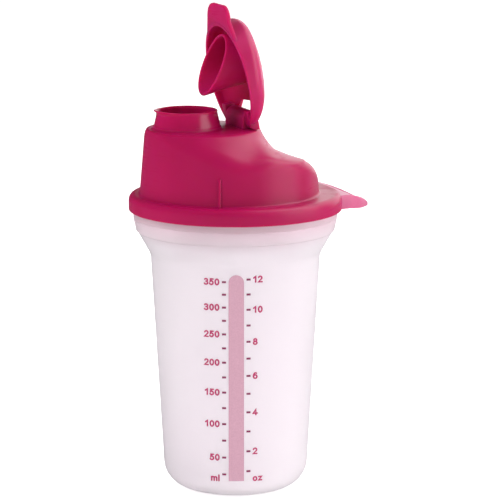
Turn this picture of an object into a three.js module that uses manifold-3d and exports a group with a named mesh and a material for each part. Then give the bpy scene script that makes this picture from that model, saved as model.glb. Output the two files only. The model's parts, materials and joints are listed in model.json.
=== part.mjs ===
// Shaker cup: a tapered cup with a mixing wheel in its neck, a press-on lid with a spout, and a flip cap.
// Millimetres, +Z up, origin at the centre of the cup's underside, spout towards -X.
import * as THREE from "three";
import { mergeVertices } from "three/addons/utils/BufferGeometryUtils.js";
import Module from "manifold-3d";

const wasm = await Module();
wasm.setup();

// Cup
const CUP_BASE_RADIUS = 32; // outer wall carried straight down to the underside
const CUP_TAPER = 0.0571; // growth of the radius for each millimetre of height
const CUP_CORNER = 11.2; // round between the wall and the underside
const CUP_WALL = 1.5;
const CUP_FLOOR = 2;
const BODY_HEIGHT = 107;
const SHOULDER_HEIGHT = 10.6;
const SHOULDER_GROWTH = 6.2;
const NECK_GROWTH = 1.4; // last widening above the shoulder
const NECK_BLEND = 5.5; // height of that widening
const NECK_HEIGHT = 14.5; // shoulder to rim

// Printed bar of the measuring scale
const BAR_WIDTH = 6.8;
const BAR_LOW = 9.4;
const BAR_DROP = 3; // below the shoulder
const BAR_AZIMUTH = THREE.MathUtils.degToRad(-20.4); // from -Y, towards +X
const INK = 0.2;

// Mixing wheel in the neck
const WHEEL_RIM = 2.2;
const WHEEL_RIM_HEIGHT = 3;
const WHEEL_HEIGHT = 8.6;
const WHEEL_SEAT = 10.2; // top of the wheel above the shoulder's lower edge
const WHEEL_HUB_RADIUS = 6;
const WHEEL_BLADES = 4;
const WHEEL_TURN = THREE.MathUtils.degToRad(23.7); // first blade from +X
const WHEEL_BLADE = 1.6;
const WHEEL_BLADE_PITCH = THREE.MathUtils.degToRad(22);

// Lid's skirt and seal wall
const SKIRT_WALL = 1.5;
const SKIRT_DEPTH = 7.3;
const SKIRT_ROUND = 3;
const LID_CLEARANCE = 0.6; // skirt to neck
const LID_WALL = 1.7;
const LID_PLATE = 1.9;
const SEAL_WALL = 1.4;
const SEAL_DEPTH = 8.7;

// Lid's boot: a drum with a sloping top, and a flared tower that carries the spout
const BOOT_LEDGE_FRONT = 4.4; // flat ledge between the boot and the skirt's edge
const BOOT_LEDGE_REAR = 10.4;
const BOOT_DRAFT = 0.085;
const SHELF_HEIGHT = 19.1; // sloping top above the plate, at the lid's axis
const SHELF_SLOPE = 0.162;
const TOWER_RADIUS = 25.4;
const TOWER_HEIGHT = 29.9;
const FLARE_RADIUS = 29.6;
const FLARE_START = THREE.MathUtils.degToRad(22.06);
const FLARE_END = THREE.MathUtils.degToRad(56.3);
const SIDE_SLOPE = THREE.MathUtils.degToRad(45); // tower's sides, from upright
const SIDE_START = THREE.MathUtils.degToRad(28); // from the rear, where the flare turns into the sides
const SIDE_END = THREE.MathUtils.degToRad(70);
const SHELF_FADE = 12; // shelf's fall beside the tower
const SHELF_START = 5; // behind the lid's axis
const ROUND_FRONT = 2;
const ROUND_REAR = 8.7;
const ROUND_SIDE = 3.5;
const ROUND_SIDE_START = 14; // from the lid's middle plane, where the rear round tightens
const ROUND_SIDE_END = 30;
const ROUND_SADDLE = 1.5;
const ROUND_SADDLE_SIDE = 12;
const ROUND_PLATFORM = 0.8;
const RIB_WIDTH = 1.3;
const RIB_PROUD = 0.8;
const RIB_HEIGHT = 12.5;
const RIB_AZIMUTH = THREE.MathUtils.degToRad(27);

// Lift tab at the lid's rear
const TAB_REACH = 16.2;
const TAB_ROOT_WIDTH = 42;
const TAB_TIP_RADIUS = 9;
const TAB_TIP_TURN = 30; // degrees of the round tip on each side
const TAB_BULGE = 4.5; // how far each side bows out
const TAB_TIP_THICKNESS = 1.5;
const TAB_DROP = 1; // top of the tab's root below the plate
const TAB_FALL = 2.3; // underside of its tip below the skirt
const TAB_CROWN = 0.9; // rise of its top above the straight line from root to tip
const TAB_DISH = 1.1;
const TAB_DISH_RADIUS = 7;

// Spout
const SPOUT_FORWARD = 7.34; // ahead of the tower's axis
const SPOUT_BASE_RADIUS = 14.6;
const SPOUT_RIM_RADIUS = 13.2;
const SPOUT_HEIGHT = 8.6;
const SPOUT_WALL = 0.9;
const POUR_LIP = 1.6;
const POUR_RISE = 0.3;
const POUR_POWER = 6; // how narrow the drawn-out lip is

// Hinge
const HINGE_INSET = 6.14; // axis ahead of the platform's rear edge
const HINGE_HEIGHT = 3.5; // axis above the platform
const KNUCKLE_RADIUS = 4.4;
const KNUCKLE_REAR = 2.7; // flat rear face behind the axis
const PIN_RADIUS = 1.4;
const PIN_LENGTH = 2.5;
const HINGE_CLEARANCE = 0.4;
const EAR = 1.6;
const EAR_RADIUS = 2.4;
const EAR_TAIL = 0.7; // middle of the ear's round end behind the axis

// Flip cap
const CAP_OPEN = THREE.MathUtils.degToRad(78.2); // as it stands in the rest pose
const CAP_INSET = 0.1; // cap's wall behind the platform's edge
const CAP_WALL = 1.5;
const CAP_HEADROOM = 5.4; // top of the crown above the spout's height
const CAP_CROWN_FORWARD = 4.2; // top of the crown ahead of the cap's middle
const CAP_FALL_LONG = 5.2; // crown's fall over one cap radius, front to rear
const CAP_FALL_WIDE = 7.9; // crown's fall over one cap radius, to each side
const CAP_HEEL = 12.3; // crown turns down from this far ahead of the hinge axis
const CAP_HEEL_FALL = 2.05; // its further fall at the hinge axis
const CAP_SIDE_LEAST = 0.5; // least height of the cap's side
const CAP_EDGE = 2.6;
const CAP_NOTCH = 1; // notch ahead of the knuckle
const PLUG_SWING = 0.9; // room on the hinge side, where the plug swings past the spout's rim
const PLUG_CLEARANCE = 0.4; // room on the front side
const PLUG_WALL = 1.2;
const PLUG_REACH_REAR = 13.2; // plug's end below the cap's rim, hinge side
const PLUG_RISE_FRONT = 0.9; // plug's end above the cap's rim, front side
const THUMB_WIDTH = 25.6;
const THUMB_FLARE = 4.2; // further half width at its root
const THUMB_REACH = 8;
const THUMB_THICKNESS = 1.8;
const THUMB_RISE = 1.3; // its tip above the cap's rim
const THUMB_ROUND = 6.5;

// Shared
const SEAT_GAP = 0.3; // between faces that rest on each other
const OVERCUT = 1; // cuts run this far past the faces they open
const WELD = 0.0001; // corners or surfaces closer than this are one
const ROUND_SIDES = 48;
const BOOT_ROWS = 20;
const CAVITY_ROWS = 9;
const ARC_STEPS = 5;
const CAST_STEPS = 40;
const CROWN_RINGS = [0.75, 0.5, 0.25];
const SPOUT_LEVELS = [0, 0.4, 0.7, 0.85, 1];

// Places that follow from the sizes above
const neckZ = BODY_HEIGHT + SHOULDER_HEIGHT;
const rimZ = neckZ + NECK_HEIGHT;
const shoulderRadius = CUP_BASE_RADIUS + CUP_TAPER * BODY_HEIGHT;
const neckLowRadius = shoulderRadius + SHOULDER_GROWTH;
const neckRadius = neckLowRadius + NECK_GROWTH;
const plateLowZ = rimZ + SEAT_GAP;
const plateZ = plateLowZ + LID_PLATE;
const skirtInner = neckRadius + LID_CLEARANCE;
const skirtRadius = skirtInner + SKIRT_WALL;
const sealRadius = neckRadius - CUP_WALL - SEAT_GAP;
const bootFront = skirtRadius - BOOT_LEDGE_FRONT;
const bootRear = skirtRadius - BOOT_LEDGE_REAR;
const bootRadius = (bootFront + bootRear) / 2;
const bootX = (bootRear - bootFront) / 2;
const platformZ = plateZ + TOWER_HEIGHT;
const towerX = TOWER_RADIUS - (bootFront - BOOT_DRAFT * TOWER_HEIGHT);
const castX = (towerX + bootX) / 2;
const spoutX = towerX - SPOUT_FORWARD;
const spoutBore = SPOUT_RIM_RADIUS - SPOUT_WALL;
const hingeX = towerX + TOWER_RADIUS - HINGE_INSET;
const hingeZ = platformZ + HINGE_HEIGHT;
const capRadius = TOWER_RADIUS - CAP_INSET;
const capX = towerX - hingeX; // cap's places are counted from the hinge axis, in its closed pose
const capRimZ = SEAT_GAP - HINGE_HEIGHT;
const capHeight = SPOUT_HEIGHT + CAP_HEADROOM;
const earY = Math.sqrt((capRadius - CAP_WALL / 2) ** 2 - capX ** 2);
const earInnerY = earY - EAR / 2;
const knuckleHalf = earInnerY - HINGE_CLEARANCE;
const plugX = spoutX - hingeX - (PLUG_SWING - PLUG_CLEARANCE) / 2;
const plugRadius = spoutBore - (PLUG_SWING + PLUG_CLEARANCE) / 2;
const notchX = -(KNUCKLE_RADIUS + CAP_NOTCH);

// Solids and shapes

function solidOf(geometry) {
  const bare = geometry.index ? geometry.toNonIndexed() : geometry;
  const position = new THREE.BufferGeometry().setAttribute("position", bare.getAttribute("position"));
  const merged = mergeVertices(position, WELD);
  const index = merged.index.array;
  const kept = [];
  for (let i = 0; i < index.length; i += 3) {
    const [a, b, c] = index.slice(i, i + 3);
    if (a !== b && b !== c && c !== a) kept.push(a, b, c);
  }
  const vertProperties = merged.getAttribute("position").array;
  return new wasm.Manifold(new wasm.Mesh({ numProp: 3, vertProperties, triVerts: new Uint32Array(kept) }));
}

function meshOf(name, solid, material) {
  const { vertProperties, triVerts } = solid.getMesh();
  const geometry = new THREE.BufferGeometry();
  geometry.setAttribute("position", new THREE.BufferAttribute(vertProperties, 3));
  geometry.setIndex(new THREE.BufferAttribute(triVerts, 1));
  geometry.computeVertexNormals();
  const mesh = new THREE.Mesh(geometry, material);
  mesh.name = name;
  return mesh;
}

const join = (...solids) => solids.reduce((sum, solid) => sum.add(solid));
const point = (x, y) => new THREE.Vector2(x, y);

// Points on a round from one angle to another, in degrees.
function arc(centreX, centreY, radius, from, to, steps = ARC_STEPS) {
  return Array.from({ length: steps + 1 }, (_, i) => {
    const angle = THREE.MathUtils.degToRad(from + ((to - from) * i) / steps);
    return point(centreX + radius * Math.cos(angle), centreY + radius * Math.sin(angle));
  });
}

// Points between two others, on a side that bows out away from the x axis.
function bowed(from, to, bulge) {
  return Array.from({ length: ARC_STEPS - 1 }, (_, i) => {
    const share = (i + 1) / ARC_STEPS;
    const straight = from.clone().lerp(to, share);
    return straight.setY(straight.y + Math.sign(from.y) * bulge * Math.sin(Math.PI * share));
  });
}

// A turned solid about the upright line at x, from points (radius, height) listed upwards.
function turned(profile, x = 0, sides = ROUND_SIDES) {
  return solidOf(new THREE.LatheGeometry(profile, sides).rotateX(Math.PI / 2).translate(x, 0, 0));
}

// A round bar between two heights, narrowing evenly from its low radius to its high one.
function bar(x, lowZ, highZ, lowRadius, highRadius = lowRadius, sides = ROUND_SIDES) {
  const side = [point(lowRadius, lowZ), point(highRadius, highZ)];
  return turned([point(0, lowZ), ...side, point(0, highZ)], x, sides);
}

function block(lowX, highX, lowY, highY, lowZ, highZ) {
  const box = new THREE.BoxGeometry(highX - lowX, highY - lowY, highZ - lowZ);
  return solidOf(box.translate((lowX + highX) / 2, (lowY + highY) / 2, (lowZ + highZ) / 2));
}

function drawnOut(outline, depth) {
  return new THREE.ExtrudeGeometry(new THREE.Shape(outline), { depth, bevelEnabled: false });
}

// A flat outline raised from one height to another.
function raised(outline, lowZ, highZ) {
  return solidOf(drawnOut(outline, highZ - lowZ).translate(0, 0, lowZ));
}

// An outline in x and z, drawn out along y.
function across(outline, lowY, highY) {
  return solidOf(drawnOut(outline, highY - lowY).rotateX(Math.PI / 2).translate(0, highY, 0));
}

// A closed solid from rings with equal counts of points, lowest ring first, each anticlockwise from above.
function stacked(rings) {
  const count = rings[0].length;
  const middle = (ring) => ring.reduce((sum, p) => sum.add(p), new THREE.Vector3()).divideScalar(count);
  const points = [...rings.flat(), middle(rings[0]), middle(rings.at(-1))];
  const lowMiddle = rings.length * count;
  const lastRing = lowMiddle - count;
  const faces = [];
  for (let i = 0; i < count; i++) {
    const next = (i + 1) % count;
    for (let start = 0; start < lastRing; start += count) {
      const above = start + count;
      faces.push(start + i, start + next, above + next, start + i, above + next, above + i);
    }
    faces.push(lowMiddle, next, i, lowMiddle + 1, lastRing + i, lastRing + next);
  }
  return solidOf(new THREE.BufferGeometry().setFromPoints(points).setIndex(faces));
}

const angles = Array.from({ length: ROUND_SIDES }, (_, i) => (2 * Math.PI * i) / ROUND_SIDES);

// Cup

function cupRadius(z) {
  const wall = CUP_BASE_RADIUS + CUP_TAPER * z;
  if (z >= CUP_CORNER) return wall;
  const centre = CUP_BASE_RADIUS + CUP_TAPER * CUP_CORNER - CUP_CORNER;
  return centre + Math.sqrt(CUP_CORNER ** 2 - (CUP_CORNER - z) ** 2);
}

// Outline of the cup's outside, or of its inside when it is set in by the wall.
function cupOutline(inset, floor, topZ) {
  const corner = CUP_CORNER - inset;
  const centre = CUP_BASE_RADIUS + CUP_TAPER * CUP_CORNER - CUP_CORNER;
  return [
    point(0, floor),
    ...arc(centre, floor + corner, corner, -90, 0),
    point(shoulderRadius - inset, BODY_HEIGHT),
    point(neckLowRadius - inset, neckZ),
    point(neckRadius - inset, neckZ + NECK_BLEND),
    point(neckRadius - inset, topZ),
    point(0, topZ),
  ];
}

function cupSolid() {
  const inside = turned(cupOutline(CUP_WALL, CUP_FLOOR, rimZ + CUP_WALL));
  return turned(cupOutline(0, 0, rimZ)).subtract(inside);
}

// The bar is drawn flat as (distance round the cup, height, thickness) and then laid on the wall.
function barSolid() {
  const half = BAR_WIDTH / 2;
  const roundZ = BODY_HEIGHT - BAR_DROP - half;
  const outline = [point(half, BAR_LOW), ...arc(0, roundZ, half, 0, 180), point(-half, BAR_LOW)];
  const film = drawnOut(outline, INK);
  const place = film.getAttribute("position");
  for (let i = 0; i < place.count; i++) {
    const z = place.getY(i);
    const radius = cupRadius(z) + SEAT_GAP + place.getZ(i);
    const turn = BAR_AZIMUTH + place.getX(i) / cupRadius(z);
    place.setXYZ(i, radius * Math.sin(turn), -radius * Math.cos(turn), z);
  }
  return solidOf(film);
}

// Mixing wheel

function ring(innerRadius, outerRadius, lowZ, highZ) {
  return bar(0, lowZ, highZ, outerRadius).subtract(bar(0, lowZ - OVERCUT, highZ + OVERCUT, innerRadius));
}

function wheelSolid() {
  const topZ = BODY_HEIGHT + WHEEL_SEAT;
  const lowZ = topZ - WHEEL_HEIGHT;
  const rimRadius = shoulderRadius + (SHOULDER_GROWTH * WHEEL_SEAT) / SHOULDER_HEIGHT - CUP_WALL;
  const rimLowRadius = rimRadius - (SHOULDER_GROWTH * WHEEL_RIM_HEIGHT) / SHOULDER_HEIGHT - WHEEL_RIM;
  const rim = ring(rimLowRadius, neckRadius, topZ - WHEEL_RIM_HEIGHT, topZ);
  const hub = bar(0, lowZ, topZ, WHEEL_HUB_RADIUS, WHEEL_HUB_RADIUS / 2);
  const blades = Array.from({ length: WHEEL_BLADES }, (_, i) => {
    const blade = new THREE.BoxGeometry(neckRadius, WHEEL_BLADE, WHEEL_HEIGHT);
    blade.rotateX(WHEEL_BLADE_PITCH).translate(neckRadius / 2, 0, (lowZ + topZ) / 2);
    return solidOf(blade.rotateZ(WHEEL_TURN + (2 * Math.PI * i) / WHEEL_BLADES));
  });
  const room = turned(cupOutline(CUP_WALL + SEAT_GAP, CUP_FLOOR, rimZ));
  return join(rim, hub, ...blades).intersect(room).intersect(bar(0, lowZ, topZ, neckRadius));
}

// Lid

function smoothLeast(a, b, round) {
  const h = THREE.MathUtils.clamp(0.5 + (b - a) / (2 * round), 0, 1);
  return b * (1 - h) + a * h - round * h * (1 - h);
}

const smoothMost = (a, b, round) => -smoothLeast(-a, -b, round);

// How far a place lies outside the boot: negative inside it.
function bootDistance(x, y, z) {
  const wall = Math.hypot(x - bootX, y) - (bootRadius - BOOT_DRAFT * (z - plateZ));
  const fade = SHELF_FADE * (1 - THREE.MathUtils.smoothstep(x, towerX, SHELF_START));
  const shelf = (z - plateZ - SHELF_HEIGHT + SHELF_SLOPE * x + fade) / Math.hypot(1, SHELF_SLOPE);
  const reach = Math.hypot(x - towerX, y);
  const flareReach = TOWER_RADIUS + FLARE_RADIUS * Math.cos(FLARE_START);
  const flareZ = platformZ + FLARE_RADIUS * Math.sin(FLARE_START);
  const endZ = flareZ - FLARE_RADIUS * Math.sin(FLARE_END);
  const endReach = flareReach - FLARE_RADIUS * Math.cos(FLARE_END);
  const cone = (reach - endReach) * Math.cos(FLARE_END) + (z - endZ) * Math.sin(FLARE_END);
  const flare = FLARE_RADIUS - Math.hypot(Math.min(reach - flareReach, 0), z - flareZ);
  const slope = (reach - TOWER_RADIUS) * Math.cos(SIDE_SLOPE) + (z - platformZ) * Math.sin(SIDE_SLOPE);
  const bearing = Math.atan2(Math.abs(y), x - towerX);
  const aside = THREE.MathUtils.smoothstep(bearing, SIDE_START, SIDE_END);
  const tower = THREE.MathUtils.lerp(z < endZ ? cone : flare, slope, aside);
  const rear = THREE.MathUtils.smoothstep(x, towerX - TOWER_RADIUS, towerX);
  const beside = THREE.MathUtils.smoothstep(Math.abs(y), 0, TOWER_RADIUS);
  const flank = THREE.MathUtils.smoothstep(Math.abs(y), ROUND_SIDE_START, ROUND_SIDE_END);
  const rearRound = THREE.MathUtils.lerp(ROUND_REAR, ROUND_SIDE, flank);
  const round = THREE.MathUtils.lerp(ROUND_FRONT, rearRound, rear);
  const saddle = ROUND_SADDLE + (ROUND_SADDLE_SIDE - ROUND_SADDLE) * beside;
  const body = smoothMost(smoothLeast(tower, shelf, saddle), wall, round);
  return smoothMost(body, z - platformZ, ROUND_PLATFORM);
}

// The boot's ring in one plane, set in by a wall. Planes between the two ends slope as the shelf does.
function bootRing(middleZ, slope, inset) {
  return angles.map((angle) => {
    const place = (reach) => {
      const x = castX + reach * Math.cos(angle);
      return new THREE.Vector3(x, reach * Math.sin(angle), middleZ - slope * x);
    };
    let near = 0;
    let far = 2 * bootRadius;
    for (let step = 0; step < CAST_STEPS; step++) {
      const half = (near + far) / 2;
      if (bootDistance(...place(half)) + inset > WELD) far = half;
      else near = half;
    }
    return place(near);
  });
}

function bootSolid(inset, lowZ, rows) {
  const highZ = platformZ - inset;
  const rings = Array.from({ length: rows + 1 }, (_, i) => {
    const level = i / rows;
    const slope = SHELF_SLOPE * Math.sin(Math.PI * level);
    return bootRing(lowZ + (highZ - lowZ) * level, slope, inset);
  });
  return stacked(rings);
}

function skirtSolid() {
  const lowZ = plateZ - SKIRT_DEPTH;
  const edge = arc(skirtRadius - SKIRT_ROUND, plateZ - SKIRT_ROUND, SKIRT_ROUND, 0, 90);
  const outside = turned([point(0, lowZ), point(skirtRadius, lowZ), ...edge, point(0, plateZ)]);
  const inside = bar(0, lowZ - OVERCUT, plateLowZ, skirtInner);
  const seal = ring(sealRadius - SEAL_WALL, sealRadius, plateLowZ - SEAL_DEPTH, plateZ - LID_PLATE / 2);
  return outside.subtract(inside).add(seal);
}

// The spout's wall at one level, from 0 at the platform to 1 at the rim, with the lip drawn out in front.
function spoutRing(level, baseRadius, rimRadius) {
  return angles.map((angle) => {
    const front = (Math.max(0, -Math.cos(angle)) * level) ** POUR_POWER;
    const radius = baseRadius + (rimRadius - baseRadius) * level + POUR_LIP * front;
    const z = platformZ + SPOUT_HEIGHT * level + POUR_RISE * front;
    return new THREE.Vector3(spoutX + radius * Math.cos(angle), radius * Math.sin(angle), z);
  });
}

function spoutSolid() {
  const foot = bar(spoutX, platformZ - LID_WALL, platformZ, SPOUT_BASE_RADIUS);
  const rings = SPOUT_LEVELS.map((level) => spoutRing(level, SPOUT_BASE_RADIUS, SPOUT_RIM_RADIUS));
  return stacked(rings).add(foot);
}

function spoutBoreSolid() {
  const baseBore = SPOUT_BASE_RADIUS - LID_WALL;
  const levels = [...SPOUT_LEVELS, 1 + SPOUT_WALL / SPOUT_HEIGHT];
  const rings = levels.map((level) => spoutRing(level, baseBore, spoutBore));
  return stacked(rings).add(bar(spoutX, platformZ - 2 * LID_WALL, platformZ, baseBore));
}

function knuckleSolid() {
  const footZ = platformZ - LID_WALL / 2;
  const start = THREE.MathUtils.radToDeg(Math.acos(KNUCKLE_REAR / KNUCKLE_RADIUS));
  const top = arc(hingeX, hingeZ, KNUCKLE_RADIUS, start, 180, 2 * ARC_STEPS);
  const outline = [point(hingeX + KNUCKLE_REAR, footZ), ...top, point(hingeX - KNUCKLE_RADIUS, footZ)];
  return across(outline, -knuckleHalf, knuckleHalf);
}

// A round bar along y on the hinge axis.
function axle(x, z, radius, lowY, highY, sides = ROUND_SIDES / 3) {
  const bore = new THREE.CylinderGeometry(radius, radius, highY - lowY, sides);
  return solidOf(bore.translate(0, (lowY + highY) / 2, 0).translate(x, 0, z));
}

function socketSolid(side) {
  const depth = PIN_LENGTH + HINGE_CLEARANCE;
  const near = knuckleHalf + HINGE_CLEARANCE - depth - SEAT_GAP;
  const far = knuckleHalf + HINGE_CLEARANCE;
  const [lowY, highY] = side > 0 ? [near, far] : [-far, -near];
  return axle(hingeX, hingeZ, PIN_RADIUS + SEAT_GAP, lowY, highY);
}

function liftTabSolid() {
  const half = TAB_ROOT_WIDTH / 2;
  const rootRadius = skirtRadius - SKIRT_WALL / 2;
  const rootX = Math.sqrt(rootRadius ** 2 - half ** 2);
  const tipX = skirtRadius + TAB_REACH;
  const lowZ = plateZ - SKIRT_DEPTH;
  const tipZ = lowZ - TAB_FALL;
  const tip = arc(tipX - TAB_TIP_RADIUS, 0, TAB_TIP_RADIUS, -TAB_TIP_TURN, TAB_TIP_TURN);
  const roots = [point(rootX, -half), point(rootX, half)];
  const sides = [bowed(roots[0], tip[0], TAB_BULGE), bowed(tip.at(-1), roots[1], TAB_BULGE)];
  const plan = raised([roots[0], ...sides[0], ...tip, ...sides[1], roots[1]], tipZ, plateZ);
  const highZ = plateZ - TAB_DROP;
  const middle = point((skirtRadius + tipX) / 2, (highZ + tipZ + TAB_TIP_THICKNESS) / 2 + TAB_CROWN);
  const top = [point(tipX, tipZ + TAB_TIP_THICKNESS), middle, point(skirtRadius, highZ), point(0, highZ)];
  const under = [point(0, lowZ), point(skirtRadius, lowZ), point(tipX, tipZ)];
  const side = across([...under, ...top], -half, half);
  const insideSkirt = bar(0, lowZ - OVERCUT, plateZ, rootRadius);
  return plan.intersect(side).subtract(insideSkirt).subtract(thumbDish(tipX, tipZ));
}

// A shallow hollow in the lift tab's sloping top.
function thumbDish(tipX, tipZ) {
  const middleX = (skirtRadius + tipX) / 2;
  const fall = plateZ - TAB_DROP - tipZ - TAB_TIP_THICKNESS;
  const slope = Math.atan2(fall, TAB_REACH);
  const surfaceZ = tipZ + TAB_TIP_THICKNESS + fall / 2 + TAB_CROWN;
  const radius = (TAB_DISH_RADIUS ** 2 + TAB_DISH ** 2) / (2 * TAB_DISH);
  const ball = new THREE.SphereGeometry(radius, ROUND_SIDES / 2, ROUND_SIDES / 3);
  return solidOf(ball.translate(0, 0, radius - TAB_DISH).rotateY(slope).translate(middleX, 0, surfaceZ));
}

function ribSolid(side) {
  const lowZ = plateZ - LID_PLATE / 2;
  const highZ = plateZ + RIB_HEIGHT;
  const outer = bootRadius + RIB_PROUD;
  const outline = [point(bootRadius - LID_WALL, lowZ), point(outer, lowZ)];
  outline.push(point(outer - BOOT_DRAFT * RIB_HEIGHT, highZ), point(bootRadius - LID_WALL, highZ));
  const rib = drawnOut(outline, RIB_WIDTH).rotateX(Math.PI / 2).translate(0, RIB_WIDTH / 2, 0);
  return solidOf(rib.rotateZ(side * (Math.PI / 2 + RIB_AZIMUTH)).translate(bootX, 0, 0));
}

function lidSolid() {
  const boot = bootSolid(0, plateZ - LID_PLATE / 2, BOOT_ROWS);
  const ribs = join(ribSolid(1), ribSolid(-1));
  const outside = join(skirtSolid(), boot, spoutSolid(), knuckleSolid(), liftTabSolid(), ribs);
  const cavity = bootSolid(LID_WALL, plateLowZ - LID_PLATE, CAVITY_ROWS);
  const cuts = join(spoutBoreSolid(), socketSolid(1), socketSolid(-1));
  return outside.subtract(cavity).subtract(cuts);
}

// Flip cap, in its closed pose with the hinge axis at the origin

// The cap's outside, or its inside when set in by the wall: a round side, a rounded edge and the crown.
function capDome(inset) {
  const radius = capRadius - inset;
  const edge = CAP_EDGE - inset;
  const lowZ = inset ? capRimZ - CAP_WALL : capRimZ;
  const ringAt = (reach, drop) =>
    angles.map((angle) => {
      const x = reach * Math.cos(angle);
      const y = reach * Math.sin(angle);
      const long = (x + CAP_CROWN_FORWARD) / capRadius;
      const heel = CAP_HEEL_FALL * Math.max(0, (capX + x + CAP_HEEL) / CAP_HEEL) ** 2;
      const fall = CAP_FALL_LONG * long ** 2 + CAP_FALL_WIDE * (y / capRadius) ** 2 + heel;
      const rise = Math.max(CAP_SIDE_LEAST, capHeight - inset - fall - drop);
      return new THREE.Vector3(capX + x, y, capRimZ + rise);
    });
  const rim = ringAt(radius, 0).map((p) => p.setZ(lowZ));
  const side = arc(radius - edge, 0, edge, 0, 90).map((p) => ringAt(p.x, edge - p.y));
  const crown = CROWN_RINGS.map((share) => ringAt((radius - edge) * share, 0));
  return stacked([rim, ...side, ...crown]);
}

function plugSolid() {
  const lowZ = capRimZ - PLUG_REACH_REAR;
  const highZ = capRimZ + capHeight;
  const tube = bar(plugX, lowZ, highZ, plugRadius);
  const hollow = bar(plugX, lowZ - OVERCUT, highZ + OVERCUT, plugRadius - PLUG_WALL);
  const rear = point(plugX + plugRadius, lowZ);
  const front = point(plugX - plugRadius, capRimZ + PLUG_RISE_FRONT);
  const cut = [front, point(front.x, lowZ - OVERCUT), point(rear.x, lowZ - OVERCUT), rear];
  const under = across(cut, -capRadius, capRadius);
  const below = block(plugX - capRadius, plugX + capRadius, -capRadius, capRadius, lowZ, capRimZ);
  const room = capDome(0).add(below);
  return tube.subtract(hollow).subtract(under).intersect(room);
}

function earSolid(side) {
  const round = arc(EAR_TAIL, 0, EAR_RADIUS, -90, 90);
  const outline = [...round, point(notchX, EAR_RADIUS), point(notchX, -EAR_RADIUS)];
  const outerY = earInnerY + EAR;
  const pinEnd = earInnerY - PIN_LENGTH;
  const plate = side > 0 ? across(outline, earInnerY, outerY) : across(outline, -outerY, -earInnerY);
  const pin = side > 0 ? axle(0, 0, PIN_RADIUS, pinEnd, earY) : axle(0, 0, PIN_RADIUS, -earY, -pinEnd);
  return plate.add(pin);
}

function thumbSolid() {
  const half = THUMB_WIDTH / 2;
  const rootHalf = half + THUMB_FLARE;
  const rootX = capX - Math.sqrt((capRadius - CAP_WALL) ** 2 - rootHalf ** 2);
  const tipX = capX - capRadius - THUMB_REACH;
  const tip = arc(tipX + THUMB_ROUND, half - THUMB_ROUND, THUMB_ROUND, 90, 180);
  const mirrored = arc(tipX + THUMB_ROUND, THUMB_ROUND - half, THUMB_ROUND, 180, 270);
  const outline = [point(rootX, rootHalf), ...tip, ...mirrored, point(rootX, -rootHalf)];
  const plan = raised(outline, capRimZ, capRimZ + THUMB_RISE + THUMB_THICKNESS);
  const frontX = capX - capRadius;
  const under = [point(tipX, capRimZ + THUMB_RISE), point(frontX, capRimZ), point(capX, capRimZ)];
  const top = under.map((p) => point(p.x, p.y + THUMB_THICKNESS)).reverse();
  const plate = plan.intersect(across([...under, ...top], -rootHalf, rootHalf));
  return plate.subtract(bar(capX, capRimZ - OVERCUT, capRimZ + capHeight, capRadius - CAP_WALL / 2));
}

function capSolid() {
  const shell = capDome(0).subtract(capDome(CAP_WALL));
  const notch = block(notchX, capRadius, -earInnerY, earInnerY, capRimZ - OVERCUT, capHeight);
  return join(shell.subtract(notch), plugSolid(), thumbSolid(), earSolid(1), earSolid(-1));
}

// Assembly

const cupPlastic = new THREE.MeshStandardMaterial({ color: 0xeee4ec, roughness: 0.35, metalness: 0 });
cupPlastic.transparent = true;
cupPlastic.opacity = 0.6;
const magentaPlastic = new THREE.MeshStandardMaterial({ color: 0xb01452, roughness: 0.4, metalness: 0 });
const clearWhitePlastic = new THREE.MeshStandardMaterial({ color: 0xf2eef0, roughness: 0.4, metalness: 0 });
const pinkInk = new THREE.MeshStandardMaterial({ color: 0xdea8be, roughness: 0.6, metalness: 0 });

const flipCap = meshOf("flip_cap", capSolid(), magentaPlastic);
const capHinge = new THREE.Group();
capHinge.position.set(hingeX, 0, hingeZ);
capHinge.rotation.y = CAP_OPEN;
capHinge.add(flipCap);

const shaker = new THREE.Group();
shaker.add(meshOf("cup", cupSolid(), cupPlastic));
shaker.add(meshOf("level_bar", barSolid(), pinkInk));
shaker.add(meshOf("blending_insert", wheelSolid(), clearWhitePlastic));
shaker.add(meshOf("lid", lidSolid(), magentaPlastic));
shaker.add(capHinge);

export default shaker;
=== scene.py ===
"""Looks of the shaker cup: smooth pieces, finishes, scale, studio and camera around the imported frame."""

import json
import logging
import math
from dataclasses import dataclass, field
from enum import Enum
from typing import Callable, Sequence

import bmesh
import bpy
import numpy as np
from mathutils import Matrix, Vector

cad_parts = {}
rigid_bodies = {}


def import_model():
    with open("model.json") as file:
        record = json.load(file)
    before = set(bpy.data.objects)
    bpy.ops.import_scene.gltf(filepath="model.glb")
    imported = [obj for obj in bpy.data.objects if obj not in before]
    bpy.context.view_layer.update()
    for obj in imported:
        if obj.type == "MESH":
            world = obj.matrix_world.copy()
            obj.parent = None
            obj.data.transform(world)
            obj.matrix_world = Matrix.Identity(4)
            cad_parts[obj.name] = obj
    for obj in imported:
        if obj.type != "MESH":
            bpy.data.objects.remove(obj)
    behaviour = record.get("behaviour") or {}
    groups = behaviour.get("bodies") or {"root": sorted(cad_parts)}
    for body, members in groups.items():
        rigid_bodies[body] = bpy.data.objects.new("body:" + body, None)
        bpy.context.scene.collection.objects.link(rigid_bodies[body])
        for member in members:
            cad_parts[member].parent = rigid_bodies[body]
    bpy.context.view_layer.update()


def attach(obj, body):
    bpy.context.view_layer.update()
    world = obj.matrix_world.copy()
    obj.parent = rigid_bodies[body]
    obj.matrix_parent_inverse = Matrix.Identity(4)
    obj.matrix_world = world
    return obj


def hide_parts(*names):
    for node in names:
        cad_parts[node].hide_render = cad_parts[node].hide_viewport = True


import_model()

LOG = logging.getLogger("shaker_cup")

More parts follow.
